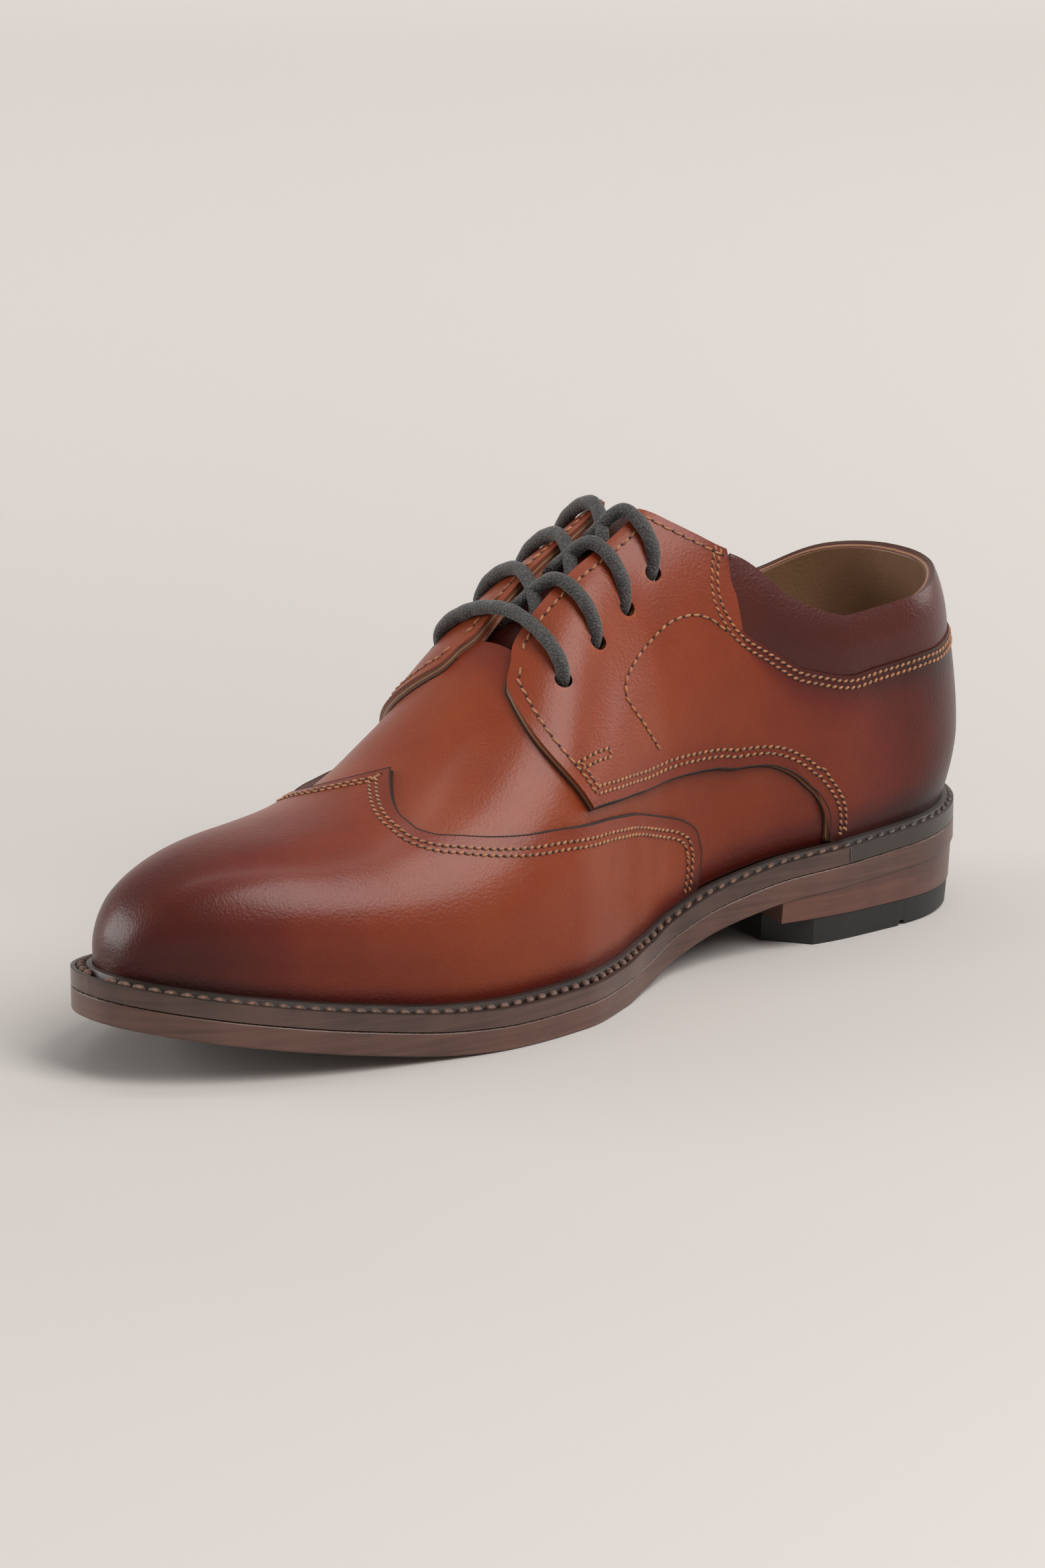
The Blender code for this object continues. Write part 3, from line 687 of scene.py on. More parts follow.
def top_piece_point(along, across, level):
    inset = TOP_PIECE_SET_IN + (1 - level) * HEEL_SET_IN

    def height(station):
        if level:
            return TOP_PIECE_THICK
        groove = 0.0015 * (abs(station - GROOVE_AT) < 0.0010)
        return max(RIB_DEEP * (station < RIBS_FROM), groove)

    return heel_point(along, across, inset, height, CORNER_CUT)


black_rubber, black_tree, black_shader = new_look("black rubber", 0.55)
black_noise = noise(black_tree, object_place(black_tree), 300.0, 4.0)
black_tone = graded(black_tree, black_noise, (0.0, (0.008, 0.008, 0.007)), (1.0, (0.021, 0.020, 0.018)))
surfaced(black_tree, black_shader, black_tone, bumped(black_tree, black_noise, 0.3, 0.0003))
finished(
    "top_piece_dressed",
    wall(130, 36, top_piece_point),
    (black_rubber,),
    edge=0.0004,
    stands_for=("heel_top_piece",),
)

RIB_PITCH = 0.0019
RIB_INSET = 0.003
rib_mesh = bmesh.new()
rib_station = 0.0055
while rib_station < RIBS_FROM - RIB_PITCH:
    rib_share = (rib_station - RIB_INSET) / (SOLE_LENGTH - 2 * RIB_INSET)
    inner, outer = [outline(side, rib_share, RIB_INSET)[0] for side in (1, -1)]
    size = Matrix.Diagonal(((inner + outer) * 0.985, RIB_PITCH * 0.55, RIB_DEEP, 1))
    middle = placed((inner - outer) / 2, rib_station, RIB_DEEP / 2 + 0.00005)
    bmesh.ops.create_cube(rib_mesh, size=1.0, matrix=Matrix.Translation(middle) @ size)
    rib_station += RIB_PITCH
finished("top_piece_ribs", rib_mesh, (black_rubber,))

Nail = namedtuple("Nail", "x station")
NAILS = (
    Nail(-0.024, 0.0760),
    Nail(-0.009, 0.0735),
    Nail(0.009, 0.0735),
    Nail(0.023, 0.0680),
    Nail(-0.022, 0.0270),
    Nail(0.000, 0.0130),
    Nail(0.022, 0.0270),
)
brass, _, brass_shader = new_look("brass nails", 0.3, Metallic=1.0)
brass_shader.inputs["Base Color"].default_value = (0.72, 0.47, 0.18, 1)
NAIL_DIAMETER = 0.0028
nail_mesh = bmesh.new()
for nail in NAILS:
    bmesh.ops.create_cone(
        nail_mesh,
        cap_ends=True,
        segments=16,
        radius1=NAIL_DIAMETER / 2,
        radius2=NAIL_DIAMETER / 2,
        depth=0.0012,
        matrix=Matrix.Translation(placed(nail.x, nail.station, 0.0007)),
    )
finished("heel_nails", nail_mesh, (brass,))

# Insole: a leather sock over a fibre board, cut to the foot of the last.

UPPER_WALL = 0.0020
PANEL_THICK = 0.0012
QUARTER_EXTRA = 0.0010
CURVED_CLEARANCE = 0.0007
PANEL_FOOT = UPPER_WALL + CURVED_CLEARANCE
PANEL_TOP = PANEL_FOOT + PANEL_THICK
FACING_TOP = PANEL_TOP + QUARTER_EXTRA
INSOLE_THICK = 0.0030


def foot_inset(grow):
    """Inset of the upper's foot from the welt's reach, for a form grown past the last."""
    return PANEL_TOP - grow


def insole_point(along, across, level):
    def height(station):
        hollow = 0.0008 * level * (1 - abs(across) ** 3)
        return welt_top(station) + CLEARANCE + level * INSOLE_THICK - hollow

    inset = foot_inset(0.0) + 0.3 * CLEARANCE
    return plate_point(both_ends(along), across, inset, 1.0, height)


def plain_leather(name, colour, roughness):
    """Leather without polish: an even colour, slow mottling and a fine grain."""
    look, tree, shader = new_look(name, roughness)
    place = object_place(tree)
    mottle = noise(tree, place, 60.0, 4.0)
    tone = graded(tree, mottle, (0.25, [0.72 * part for part in colour]), (0.75, colour))
    surfaced(tree, shader, tone, bumped(tree, noise(tree, place, 900.0, 3.0), 0.35, 0.0003))
    return look


lining_leather = plain_leather("lining leather", (0.25, 0.130, 0.065), 0.55)
finished(
    "insole_dressed",
    wall(90, 16, insole_point),
    (lining_leather,),
    edge=0.0004,
    stands_for=("insole",),
)

# Upper: one wall of polished calf over the last, tan with darker hand colouring at toe and heel,
# painted shade widening the dark round the heel and darker towards the foot, lined with plain leather,
# open along the lacing and at the collar.

INSTEP_HEIGHT = 0.100
TOE_BOX_ROUND = 0.046
TOE_BOX_POWER = 2.3
BACK_HEIGHT = 0.066
BACK_SWELL = 0.0038
BACK_SWELL_LENGTH = 0.095
BACK_BLEND = 0.1
UNDERCUT = 0.18
FACING_GAP = 0.0125
Back = namedtuple("Back", "at swing")
BACK_CURVE = (
    Back(-0.45, -1.20),
    Back(0.00, 0.00),
    Back(0.33, 1.00),
    Back(0.68, 0.40),
    Back(1.00, -0.80),
    Back(1.36, -2.20),
    Back(2.00, -3.20),
)
Topline = namedtuple("Topline", "at inner outer")
TOPLINE = (
    Topline(0.00, 0.420, 0.420),
    Topline(0.03, 0.415, 0.412),
    Topline(0.10, 0.395, 0.380),
    Topline(0.19, 0.400, 0.375),
    Topline(0.25, 0.455, 0.430),
    Topline(0.30, 0.580, 0.565),
    Topline(0.335, 0.660, 0.655),
    Topline(0.366, 0.770, 0.770),
    Topline(0.387, 0.900, 0.900),
)
LACING_TOP = 0.389
THROAT = 0.550

# Soft hollows (deep above 0) and swells (below 0) of the leather: a line
# from one place to another, its width in metres and its depth in metres.
Crease = namedtuple("Crease", "side share up to_share to_up wide deep")
CREASES = (
    Crease(1, 0.640, 0.98, 0.600, 0.60, 0.006, 0.00045),
    Crease(-1, 0.640, 0.98, 0.605, 0.62, 0.006, 0.00045),
    Crease(1, 0.615, 0.97, 0.575, 0.55, 0.007, 0.00050),
    Crease(-1, 0.612, 0.97, 0.580, 0.58, 0.007, 0.00050),
    Crease(1, 0.330, 0.72, 0.300, 0.42, 0.007, 0.00090),
    Crease(1, 0.352, 0.80, 0.322, 0.50, 0.006, -0.00070),
    Crease(-1, 0.332, 0.72, 0.302, 0.42, 0.007, 0.00080),
    Crease(1, 0.450, 0.24, 0.330, 0.13, 0.010, 0.00060),
    Crease(-1, 0.470, 0.24, 0.340, 0.13, 0.010, 0.00060),
    Crease(1, 0.120, 0.26, 0.200, 0.16, 0.012, 0.00060),
)
LAST_SPAN = 0.288
HALF_GIRTH = 0.118


@lru_cache(maxsize=200000)
def relief(side, share, up):
    """How far the soft hollows and swells move the surface outwards at a place."""
    total = 0.0
    for crease in CREASES:
        if crease.side != side:
            continue
        ax, ay = crease.share * LAST_SPAN, crease.up * HALF_GIRTH
        bx, by = crease.to_share * LAST_SPAN, crease.to_up * HALF_GIRTH
        px, py = share * LAST_SPAN - ax, up * HALF_GIRTH - ay
        run, rise = bx - ax, by - ay
        part = min(max((px * run + py * rise) / (run * run + rise * rise), 0.0), 1.0)
        away = hypot(px - part * run, py - part * rise)
        fade = 0.4 + 0.6 * sin(pi * (0.1 + 0.8 * part))
        total -= crease.deep * exp(-((away / crease.wide) ** 2)) * fade
    return total


def sided(rows, inner, outer, side, at, share):
    """Value of a side's own column, which becomes the mean of both at the back seam."""
    own = hermite(rows, inner if side > 0 else outer, at)
    other = hermite(rows, outer if side > 0 else inner, at)
    apart = min(share / BACK_BLEND, 1.0)
    return (own + other) / 2 + apart * (own - other) / 2


@lru_cache(maxsize=200000)
def form(side, share, grow):
    """The last's section at a share of its length, grown outwards."""
    width, station = outline(side, share, foot_inset(grow), 1.0)
    back, tip = ends(foot_inset(grow), 1.0)
    at = station / SOLE_LENGTH
    toe = closing(SOLE_LENGTH - tip - station, TOE_ROUND - tip, TOE_POWER)
    seat = closing(station - back, SEAT_ROUND - back, SEAT_POWER)
    box = closing(SOLE_LENGTH - tip - station, TOE_BOX_ROUND + grow, TOE_BOX_POWER)
    ridge = (INSTEP_HEIGHT * hermite(SECTIONS, "ridge", at) + grow) * box
    belly = min(INSTEP_HEIGHT * hermite(SECTIONS, "belly", at), 0.35 * ridge)
    swell = BALL_WIDTH * hermite(SECTIONS, "swell", at) * toe * seat * box
    lean = BALL_WIDTH * hermite(SECTIONS, "lean", at) * box * seat
    power = sided(SECTIONS, "arch_in", "arch_out", side, at, share)
    return width, station, ridge, belly, width + swell, lean, power


def skin(side, share, up, grow):
    """Point on the last grown outwards: share is 0 at the back and 1 at the toe,
    and up is 0 at the foot and 1 on the ridge."""
    share = min(max(share, 0.0), 1.0)
    foot, station, ridge, belly, wide, lean, power = form(side, share, round(grow, 7))
    turn = up * (1 + UNDERCUT) - UNDERCUT
    if turn < 0:
        x = wide - (wide - foot) * (turn / UNDERCUT) ** 2
        z = belly * (1 + turn / UNDERCUT)
    else:
        angle = min(turn, 1.0) * pi / 2
        x = wide * max(cos(angle), 0.0) ** (2 / power)
        z = belly + (ridge - belly) * sin(angle) ** (2 / power)
    lift = max(z - belly, 0.0) / max(ridge - belly, 1e-6)
    back, _ = ends(foot_inset(grow), 1.0)
    near_back = max(1 - (station - back) / BACK_SWELL_LENGTH, 0.0) ** 2
    swing = BACK_SWELL * hermite(BACK_CURVE, "swing", round(z / BACK_HEIGHT, 5)) * near_back
    return placed(side * x + lean * lift, station - swing, welt_top(station) + CLEARANCE + z)


def facing(side, share, up):
    """Directions on the last at a place: (towards the toe, up the side, outwards)."""
    low = max(up - 0.006, 0.0)
    high = min(up + 0.006, 0.9999)
    back = max(share - 0.003, 0.0)
    front = min(share + 0.003, 1.0)
    ahead = (skin(side, front, up, PANEL_FOOT) - skin(side, back, up, PANEL_FOOT)) / (front - back)
    rise = (skin(side, share, high, PANEL_FOOT) - skin(side, share, low, PANEL_FOOT)) / (high - low)
    return ahead, rise, side * rise.cross(ahead).normalized()


def hide(side, share, up, grow):
    """Point of the leather: the last, grown, with the soft hollows and swells."""
    return skin(side, share, up, grow + relief(side, round(share, 5), round(up, 5)))


def girth_at_gap(side, share):
    """Share of the way up the side where the facings' edges stand."""
    _, _, _, _, wide, _, power = form(side, share, UPPER_WALL)
    ratio = min(FACING_GAP / 2 / max(wide, 1e-6), 0.3)
    return (acos(ratio ** (power / 2)) * 2 / pi + UNDERCUT) / (1 + UNDERCUT)


def rim(side, share):
    """Share of the way up to the edge of the opening: topline, then facing."""
    if share <= LACING_TOP:
        return sided(TOPLINE, "inner", "outer", side, share, share)
    return girth_at_gap(side, share)


def hand_colour_and_shade(share, up):
    """How dark the leather is painted: burnished at toe and heel, darker towards the foot and on the
    ridge, and painted shade that widens the dark round the heel; 0 is tan and 1 is the darkest brown.
    """
    toe = 0.28 * smooth(0.86, 1.0, share) + 0.26 * smooth(0.66, 0.90, share)
    # the second heel term is painted shade: it widens the dark round the heel, where the heel stands in
    # shade
    heel = 0.40 * (1 - smooth(0.02, 0.22, share)) + 0.24 * (1 - smooth(0.16, 0.46, share))
    foot = 0.35 * (1 - smooth(0.0, 0.10, up))
    ridge = 0.06 * smooth(0.75, 1.0, up) * smooth(0.62, 0.75, share)
    return min(0.20 + toe + heel + foot + ridge, 1.0)


def nearness(points, width):
    """A function of a place (side, share, up): 1 on a line of points, less beside it."""
    tree = KDTree(len(points))
    for i, point in enumerate(points):
        tree.insert(point, i)
    tree.balance()

    def near(side, share, up):
        _, _, away = tree.find(skin(side, share, up, UPPER_WALL))
        return exp(-((away / width) ** 2))

    return near


def polished_leather(name, stops, roughness, edge_colour, seam_colour):
    """Polished calf: colour by how dark it was burnished and painted with shade, fine grain, pores and
    a clear coat of wax, and a raw edge where it was cut."""
    look, tree, shader = new_look(
        name,
        roughness,
        Specular_IOR_Level=0.24,
        Coat_Weight=0.15,
        Coat_Roughness=0.22,
    )
    place = object_place(tree)
    mottle = mapped(tree, noise(tree, place, 30.0, 6.0, Roughness=0.6), To_Min=-0.20, To_Max=0.20)
    depth = combined(tree, "ADD", attribute(tree, "burnish_and_shade"), mottle)
    level = attribute(tree, "level")
    no, yes = (0, 0, 0), (1, 1, 1)
    on_edge = graded(tree, level, (0.10, no), (0.16, yes), (0.84, yes), (0.90, no))
    layers = (0.38, edge_colour), (0.44, seam_colour), (0.54, seam_colour), (0.60, edge_colour)
    colour = mixed(tree, on_edge, graded(tree, depth, *stops), graded(tree, level, *layers))
    grain_inputs = {"Vector": place, "Scale": 1500.0}
    grain = node(tree, "ShaderNodeTexVoronoi", grain_inputs, feature="SMOOTH_F1")
    both = combined(tree, "ADD", grain.outputs["Distance"], noise(tree, place, 900.0, 3.0))
    wavy = bumped(tree, noise(tree, place, 110.0, 3.0), 0.12, 0.0010)
    surfaced(tree, shader, colour, bumped(tree, both, 0.55, 0.00016, Normal=wavy))
    return look


TAN_STOPS = (
    (0.00, (0.250, 0.050, 0.012)),
    (0.25, (0.190, 0.030, 0.008)),
    (0.50, (0.110, 0.012, 0.005)),
    (0.75, (0.050, 0.006, 0.004)),
    (1.00, (0.022, 0.004, 0.003)),
)
DARK_EDGE = (0.060, 0.020, 0.012)
PALE_EDGE = (0.300, 0.170, 0.085)
tan_calf = polished_leather("tan calf", TAN_STOPS, 0.38, DARK_EDGE, DARK_EDGE)
faced_calf = polished_leather("faced calf", TAN_STOPS, 0.38, (0.130, 0.050, 0.030), PALE_EDGE)

Row = namedtuple("Row", "at share")
UPPER_ROWS = (
    Row(0, 0.000),
    Row(4, 0.028),
    Row(8, 0.108),
    Row(12, 0.210),
    Row(16, 0.320),
    Row(21, 0.389),
    Row(28, THROAT),
    Row(34, 0.715),
    Row(39, 0.885),
    Row(43, 0.975),
    Row(46, 1.000),
)
THROAT_ROW = 28
SIDE_COLUMNS = 36
RIDGE_COLUMNS = 8
UPPER_FINENESS = 3


def split_columns(across, side_columns, ridge_columns):
    """(share up the side part, share over the ridge part) of a place across an arch."""
    parts = (side_columns + ridge_columns) * (1 - abs(across))
    return min(parts / side_columns, 1.0), max(parts - side_columns, 0.0) / ridge_columns


def upper_place(along, across):
    share = hermite(UPPER_ROWS, "share", along * UPPER_ROWS[-1].at)
    side = 1 if across > 0 else -1
    up_side, over = split_columns(across, SIDE_COLUMNS, RIDGE_COLUMNS)
    edge = rim(side, share)
    return side, share, edge * up_side + (1 - edge) * over


def upper_point(along, across, level):
    side, share, up = upper_place(along, across)
    return hide(side, share, up, level * UPPER_WALL)


def upper_keep(along, across):
    ahead = along > THROAT_ROW / UPPER_ROWS[-1].at
    return ahead or abs(across) > RIDGE_COLUMNS / (SIDE_COLUMNS + RIDGE_COLUMNS)


def upper_paint(along, across):
    side, share, up = upper_place(along, across)
    near_throat = 0.25 * smooth(0.60, 0.55, share) * smooth(0.5, 0.9, up)
    return hand_colour_and_shade(share, up) + near_throat


upper_mesh = wall(
    UPPER_FINENESS * UPPER_ROWS[-1].at,
    2 * (SIDE_COLUMNS + RIDGE_COLUMNS),
    upper_point,
    upper_keep,
    upper_paint,
)
for face in face_levels(upper_mesh)[0]:
    face.material_index = 1
upper_piece = finished(
    "upper_dressed",
    upper_mesh,
    (faced_calf, lining_leather),
    edge=0.0005,
    stands_for=("upper",),
)

# Wing cap: the toe's overlay, with a peak on the ridge and wings that run back to the
# waist, its edge folded and sewn down with two rows of tan thread.

Strip = namedtuple("Strip", "at low low_up high high_up")
WING_TROUGH = 0.723
WING_SHOULDER = 0.78
WING_PEAK = 0.041
PEAK_POWER = 1.7
WING_EDGES = numbered(
    Strip,
    (0.723, 0.0, 0.723, 0.780),
    (0.716, 0.0, 0.722, 0.720),
    (0.703, 0.0, 0.713, 0.665),
    (0.684, 0.0, 0.689, 0.603),
    (0.663, 0.0, 0.663, 0.543),
    (0.626, 0.0, 0.626, 0.470),
    (0.589, 0.0, 0.589, 0.417),
    (0.547, 0.0, 0.547, 0.366),
    (0.504, 0.0, 0.504, 0.328),
    (0.462, 0.0, 0.460, 0.287),
    (0.425, 0.0, 0.420, 0.236),
    (0.398, 0.0, 0.394, 0.201),
    (0.382, 0.0, 0.377, 0.165),
    (0.372, 0.0, 0.372, 0.120),
)
OVERLAY_FOOT = UPPER_WALL - 0.0002
WING_AHEAD = 60
WING_BEHIND = 90
WING_SPLIT = WING_BEHIND / (WING_AHEAD + WING_BEHIND)
WING_SIDE = 40
WING_RIDGE = 12


def strip_point(edges, run, q):
    """(place, up) at a share of the way from a panel's lower to its upper edge."""
    row = run * (len(edges) - 1)
    low = hermite(edges, "low", row), hermite(edges, "low_up", row)
    high = hermite(edges, "high", row), hermite(edges, "high_up", row)
    return low[0] + q * (high[0] - low[0]), low[1] + q * (high[1] - low[1])


def wing_place(along, across):
    side = 1 if across > 0 else -1
    q, over = split_columns(across, WING_SIDE, WING_RIDGE)
    if along < WING_SPLIT:
        share, up = strip_point(WING_EDGES, 1 - along / WING_SPLIT, q)
        near_toe = 0.0
    else:
        near_toe = (along - WING_SPLIT) / (1 - WING_SPLIT)
        share = 1 - (1 - WING_TROUGH) * eased(1 - near_toe)
        up = WING_SHOULDER * q
    up += (1 - WING_SHOULDER) * over
    share -= WING_PEAK * over**PEAK_POWER * (1 - near_toe) ** 2
    return side, share, up


def wing_point(along, across, level):
    side, share, up = wing_place(along, across)
    return hide(side, share, up, OVERLAY_FOOT + level * (PANEL_TOP - OVERLAY_FOOT))


def wing_keep(along, across):
    return along > WING_SPLIT or abs(across) > WING_RIDGE / (WING_SIDE + WING_RIDGE)


def wing_edge(side):
    """Places along the cap's upper edge, from the ridge back to the end of the wing."""
    places = []
    for i in range(60):
        over = 1 - i / 60
        share = WING_TROUGH - WING_PEAK * over**PEAK_POWER
        places.append((side, share, WING_SHOULDER + (1 - WING_SHOULDER) * over))
    for i in range(240):
        share, up = strip_point(WING_EDGES, i / 240, 1.0)
        places.append((side, share, up))
    for i in range(20):
        places.append((side, WING_EDGES[-1].high, WING_EDGES[-1].high_up * (1 - i / 21)))
    return places


wing_rim = [skin(*place, UPPER_WALL) for side in (1, -1) for place in wing_edge(side)]
near_wing_edge = nearness(wing_rim, 0.005)


def wing_paint(along, across):
    side, share, up = wing_place(along, across)
    return hand_colour_and_shade(share, up) + 0.16 * near_wing_edge(side, share, up)


finished(
    "wing_cap_dressed",
    wall(WING_AHEAD + WING_BEHIND, 2 * (WING_SIDE + WING_RIDGE), wing_point, wing_keep, wing_paint),
    (tan_calf,),
    edge=0.0006,
    stands_for=("wing_cap",),
)


def course_on(places, inset, grow):
    """Points and outward normals along places (side, share, up) on the leather, set
    aside from them by inset; grow is one height for all places, or one for each."""
    course = []
    grows = grow if isinstance(grow, list) else [grow] * len(places)
    for i, ((side, share, up), grow) in enumerate(zip(places, grows)):
        before = places[max(i - 1, 0)]
        after = places[min(i + 1, len(places) - 1)]
        way = skin(*after, grow) - skin(*before, grow)
        ahead, rise, out = facing(side, share, up)
        beside = out.cross(way).normalized() * inset
        # the step on the form that gives this sideways move
        aa, ar, rr = ahead.dot(ahead), ahead.dot(rise), rise.dot(rise)
        whole = max(aa * rr - ar * ar, 1e-12)
        da = (beside.dot(ahead) * rr - beside.dot(rise) * ar) / whole
        dr = (beside.dot(rise) * aa - beside.dot(ahead) * ar) / whole
        course.append((hide(side, max(share + da, 0.0), min(up + dr, 1.0), grow), out))
    return course


tan_thread = thread("tan thread", (0.40, 0.155, 0.055))
# dark beads: ink along the panels' rims, and painted shade in the needle holes and at the foot of the
# panels' steps
dark_ink_and_shade, _, dark_ink_and_shade_shader = new_look("ink and painted shade", 0.8)
dark_ink_and_shade_shader.inputs["Base Color"].default_value = (0.020, 0.007, 0.004, 1)
ROW_APART = 0.0019
STITCH_PITCH = 0.0022
STITCH_SLANT = 0.45
STEP_SHADE_OUT = 0.0001  # rims' dark lines: painted shade this far past the rim, ink this far inside it
INK_IN = 0.0002


def seam(beads, places, inset, grow, pitch=STITCH_PITCH, slant=STITCH_SLANT):
    """A row of slanted tan stitches with a dark bead between each two, painted shade standing for the
    needle hole there.
    """
    course = course_on(places, inset, grow)
    stitches(beads, course, pitch, 0.9 * pitch, 0.00085, 0.0009, slant)
    stitches(beads, course, pitch, 0.0009, 0.0009, 0.00025, 0.0, 0.0, 1)


def ink_and_shade_line(beads, places, inset, grow):
    """A dark line along a panel's rim: ink on the rim's top, painted shade at the foot of its step."""
    course = course_on(places, inset, grow)
    stitches(beads, course, 0.0012, 0.0024, 0.00065, 0.0004, 0.0, 0.5, 1)


WING_ROW_INSET = 0.0038
wing_seams = Beads([], [], [])
for side in (1, -1):
    ink_and_shade_line(wing_seams, wing_edge(side), -INK_IN * side, PANEL_TOP - 0.0001)
    # painted shade: a dark line along the foot of the cap's step
    ink_and_shade_line(wing_seams, wing_edge(side), STEP_SHADE_OUT * side, UPPER_WALL + 0.0002)
    for inset in (WING_ROW_INSET, WING_ROW_INSET + ROW_APART):
        places = wing_edge(side)[2:]
        seam(wing_seams, places, -inset * side, PANEL_TOP + 0.0001, slant=STITCH_SLANT * side)
finished("wing_seams", threaded(wing_seams), (tan_thread, dark_ink_and_shade))

# Quarters: the two sides, sewn together at the back and over the vamp, two layers thick
# at the facings, with four punched lace holes a side and rows of tan stitching.

QUARTER_BOW = 0.023
QUARTER_EDGES = numbered(
    Strip,
    (0.000, 0.000, 0.000, 0.750),
    (0.004, 0.000, 0.004, 0.750),
    (0.016, 0.000, 0.016, 0.750),
    (0.034, 0.000, 0.034, 0.750),
    (0.055, 0.000, 0.055, 0.753),
    (0.078, 0.000, 0.078, 0.756),
    (0.103, 0.000, 0.104, 0.760),
    (0.130, 0.000, 0.133, 0.760),
    (0.158, 0.000, 0.165, 0.760),
    (0.184, 0.000, 0.197, 0.753),
    (0.205, 0.000, 0.231, 0.745),
    (0.219, 0.010, 0.266, 0.730),
    (0.227, 0.075, 0.298, 0.720),
    (0.240, 0.125, 0.319, 0.745),
    (0.261, 0.170, 0.331, 0.830),
    (0.292, 0.207, 0.325, 0.930),
    (0.316, 0.223, 0.316, 1.000),
    (0.333, 0.233, 0.335, 1.000),
    (0.350, 0.248, 0.352, 1.000),
    (0.368, 0.2605, 0.368, 1.000),
    (0.382, 0.270, 0.381, 1.000),
    (0.396, 0.280, 0.391, 1.000),
    (0.414, 0.2925, 0.405, 1.000),
    (0.441, 0.312, 0.435, 1.000),
    (0.474, 0.336, 0.474, 1.000),
    (0.506, 0.360, 0.512, 1.000),
    (0.531, 0.381, 0.552, 1.000),
    (0.551, 0.400, 0.573, 0.978),
)
LAST_ROW = len(QUARTER_EDGES) - 1
QUARTER_FINENESS = 4
QUARTER_COLUMNS = 36


def quarter_place(side, run, q):
    share, _ = strip_point(QUARTER_EDGES, run, q)
    front = max(run - 0.75, 0.0) / 0.25
    share += QUARTER_BOW * front**2 * sin(pi * q)
    row = run * LAST_ROW
    low = hermite(QUARTER_EDGES, "low_up", row)
    high = hermite(QUARTER_EDGES, "high_up", row) * rim(side, share)
    # the front top corner is cut round
    corner = (max(run - 0.92, 0.0) / 0.08 * max(q - 0.86, 0.0) / 0.14) ** 1.6
    return side, share - 0.010 * corner, low + q * (high - low) - 0.030 * corner


def quarter_thickness(run):
    return PANEL_THICK + QUARTER_EXTRA * min(max((run - 0.6) / 0.25, 0.0), 1.0)


def quarter_at(along, across):
    """(run, q, place) of a vertex of the quarters' grid."""
    run = abs(2 * along - 1)
    q = 1 - eased((1 - across) / 2, 0.7)
    return run, q, quarter_place(1 if along > 0.5 else -1, run, q)


def quarter_point(along, across, level):
    run, _, (side, share, up) = quarter_at(along, across)
    top = PANEL_FOOT + quarter_thickness(run)
    return hide(side, share, up, OVERLAY_FOOT + level * (top - OVERLAY_FOOT))


def quarter_paint(along, across):
    run, q, (_, share, up) = quarter_at(along, across)
    near_collar = 0.30 * exp(-(((1 - q) / 0.14) ** 2)) * (1 - smooth(0.55, 0.66, run))
    near_edge = 0.14 * exp(-((q / 0.09) ** 2)) * smooth(0.40, 0.46, run)
    return hand_colour_and_shade(share, up) + near_collar + near_edge


quarters_piece = finished(
    "quarters_dressed",
    wall(QUARTER_FINENESS * 2 * LAST_ROW, QUARTER_COLUMNS, quarter_point, None, quarter_paint),
    (faced_calf,),
    edge=0.0005,
    stands_for=("quarters",),
)

Hole = namedtuple("Hole", "share up")
HOLES = (Hole(0.537, 0.698), Hole(0.487, 0.684), Hole(0.440, 0.687), Hole(0.398, 0.701))
HOLE_WIDE = 0.0050
HOLE_SHADE_FROM = -0.0006  # depth under the leather's face where the painted shade on a hole's wall starts


def cut_holes(piece, punches, top):
    """Punches the lace holes through a finished piece, and keeps its rounded edges.

    The holes' rims keep the colour of the leather round them, and their walls are painted dark, painted
    shade inside the holes.
    """
    flat = piece.modifiers.new("flat faces", "TRIANGULATE")
    flat.keep_custom_normals = True
    cut = piece.modifiers.new("lace holes", "BOOLEAN")
    cut.operation = "DIFFERENCE"
    cut.solver = "EXACT"
    cut.object = punches
    even = piece.modifiers.new("even shading", "WEIGHTED_NORMAL")
    even.keep_sharp = True
    graph = bpy.context.evaluated_depsgraph_get()
    shape = bpy.data.meshes.new_from_object(piece.evaluated_get(graph))
    piece.modifiers.clear()
    piece.data = shape
    level, burnish_and_shade = shape.attributes["level"].data, shape.attributes["burnish_and_shade"].data
    for side, hole in product((1, -1), HOLES):
        _, _, out = facing(side, hole.share, hole.up)
        middle = skin(side, hole.share, hole.up, top)
        for vertex in shape.vertices:
            away = vertex.co - middle
            depth = away.dot(out)
            if away.length < 0.008 and depth > HOLE_SHADE_FROM:
                level[vertex.index].value = 1.0
            if away.length < 0.006 and (away - depth * out).length < 0.62 * HOLE_WIDE:
                level[vertex.index].value = 1.0
                # walls deep in the leather are painted darkest: painted shade inside the hole
                burnish_and_shade[vertex.index].value = 1.0 if depth < HOLE_SHADE_FROM else 0.3


punch_mesh = bmesh.new()
for side, hole in product((1, -1), HOLES):
    _, _, out = facing(side, hole.share, hole.up)
    middle = skin(side, hole.share, hole.up, 0.002)
    aim = out.to_track_quat("Z", "Y").to_matrix().to_4x4()
    bmesh.ops.create_cone(
        punch_mesh,
        cap_ends=True,
        segments=24,
        radius1=HOLE_WIDE / 2,
        radius2=HOLE_WIDE / 2,
        depth=0.016,
        matrix=Matrix.Translation(middle) @ aim,
    )
punches = shown("punches", as_data("punches", punch_mesh))
bpy.context.view_layer.update()
cut_holes(quarters_piece, punches, FACING_TOP)
cut_holes(upper_piece, punches, UPPER_WALL)
bpy.data.objects.remove(punches)

quarter_seams = Beads([], [], [])


def quarter_top(run):
    return PANEL_FOOT + quarter_thickness(run) + 0.0001


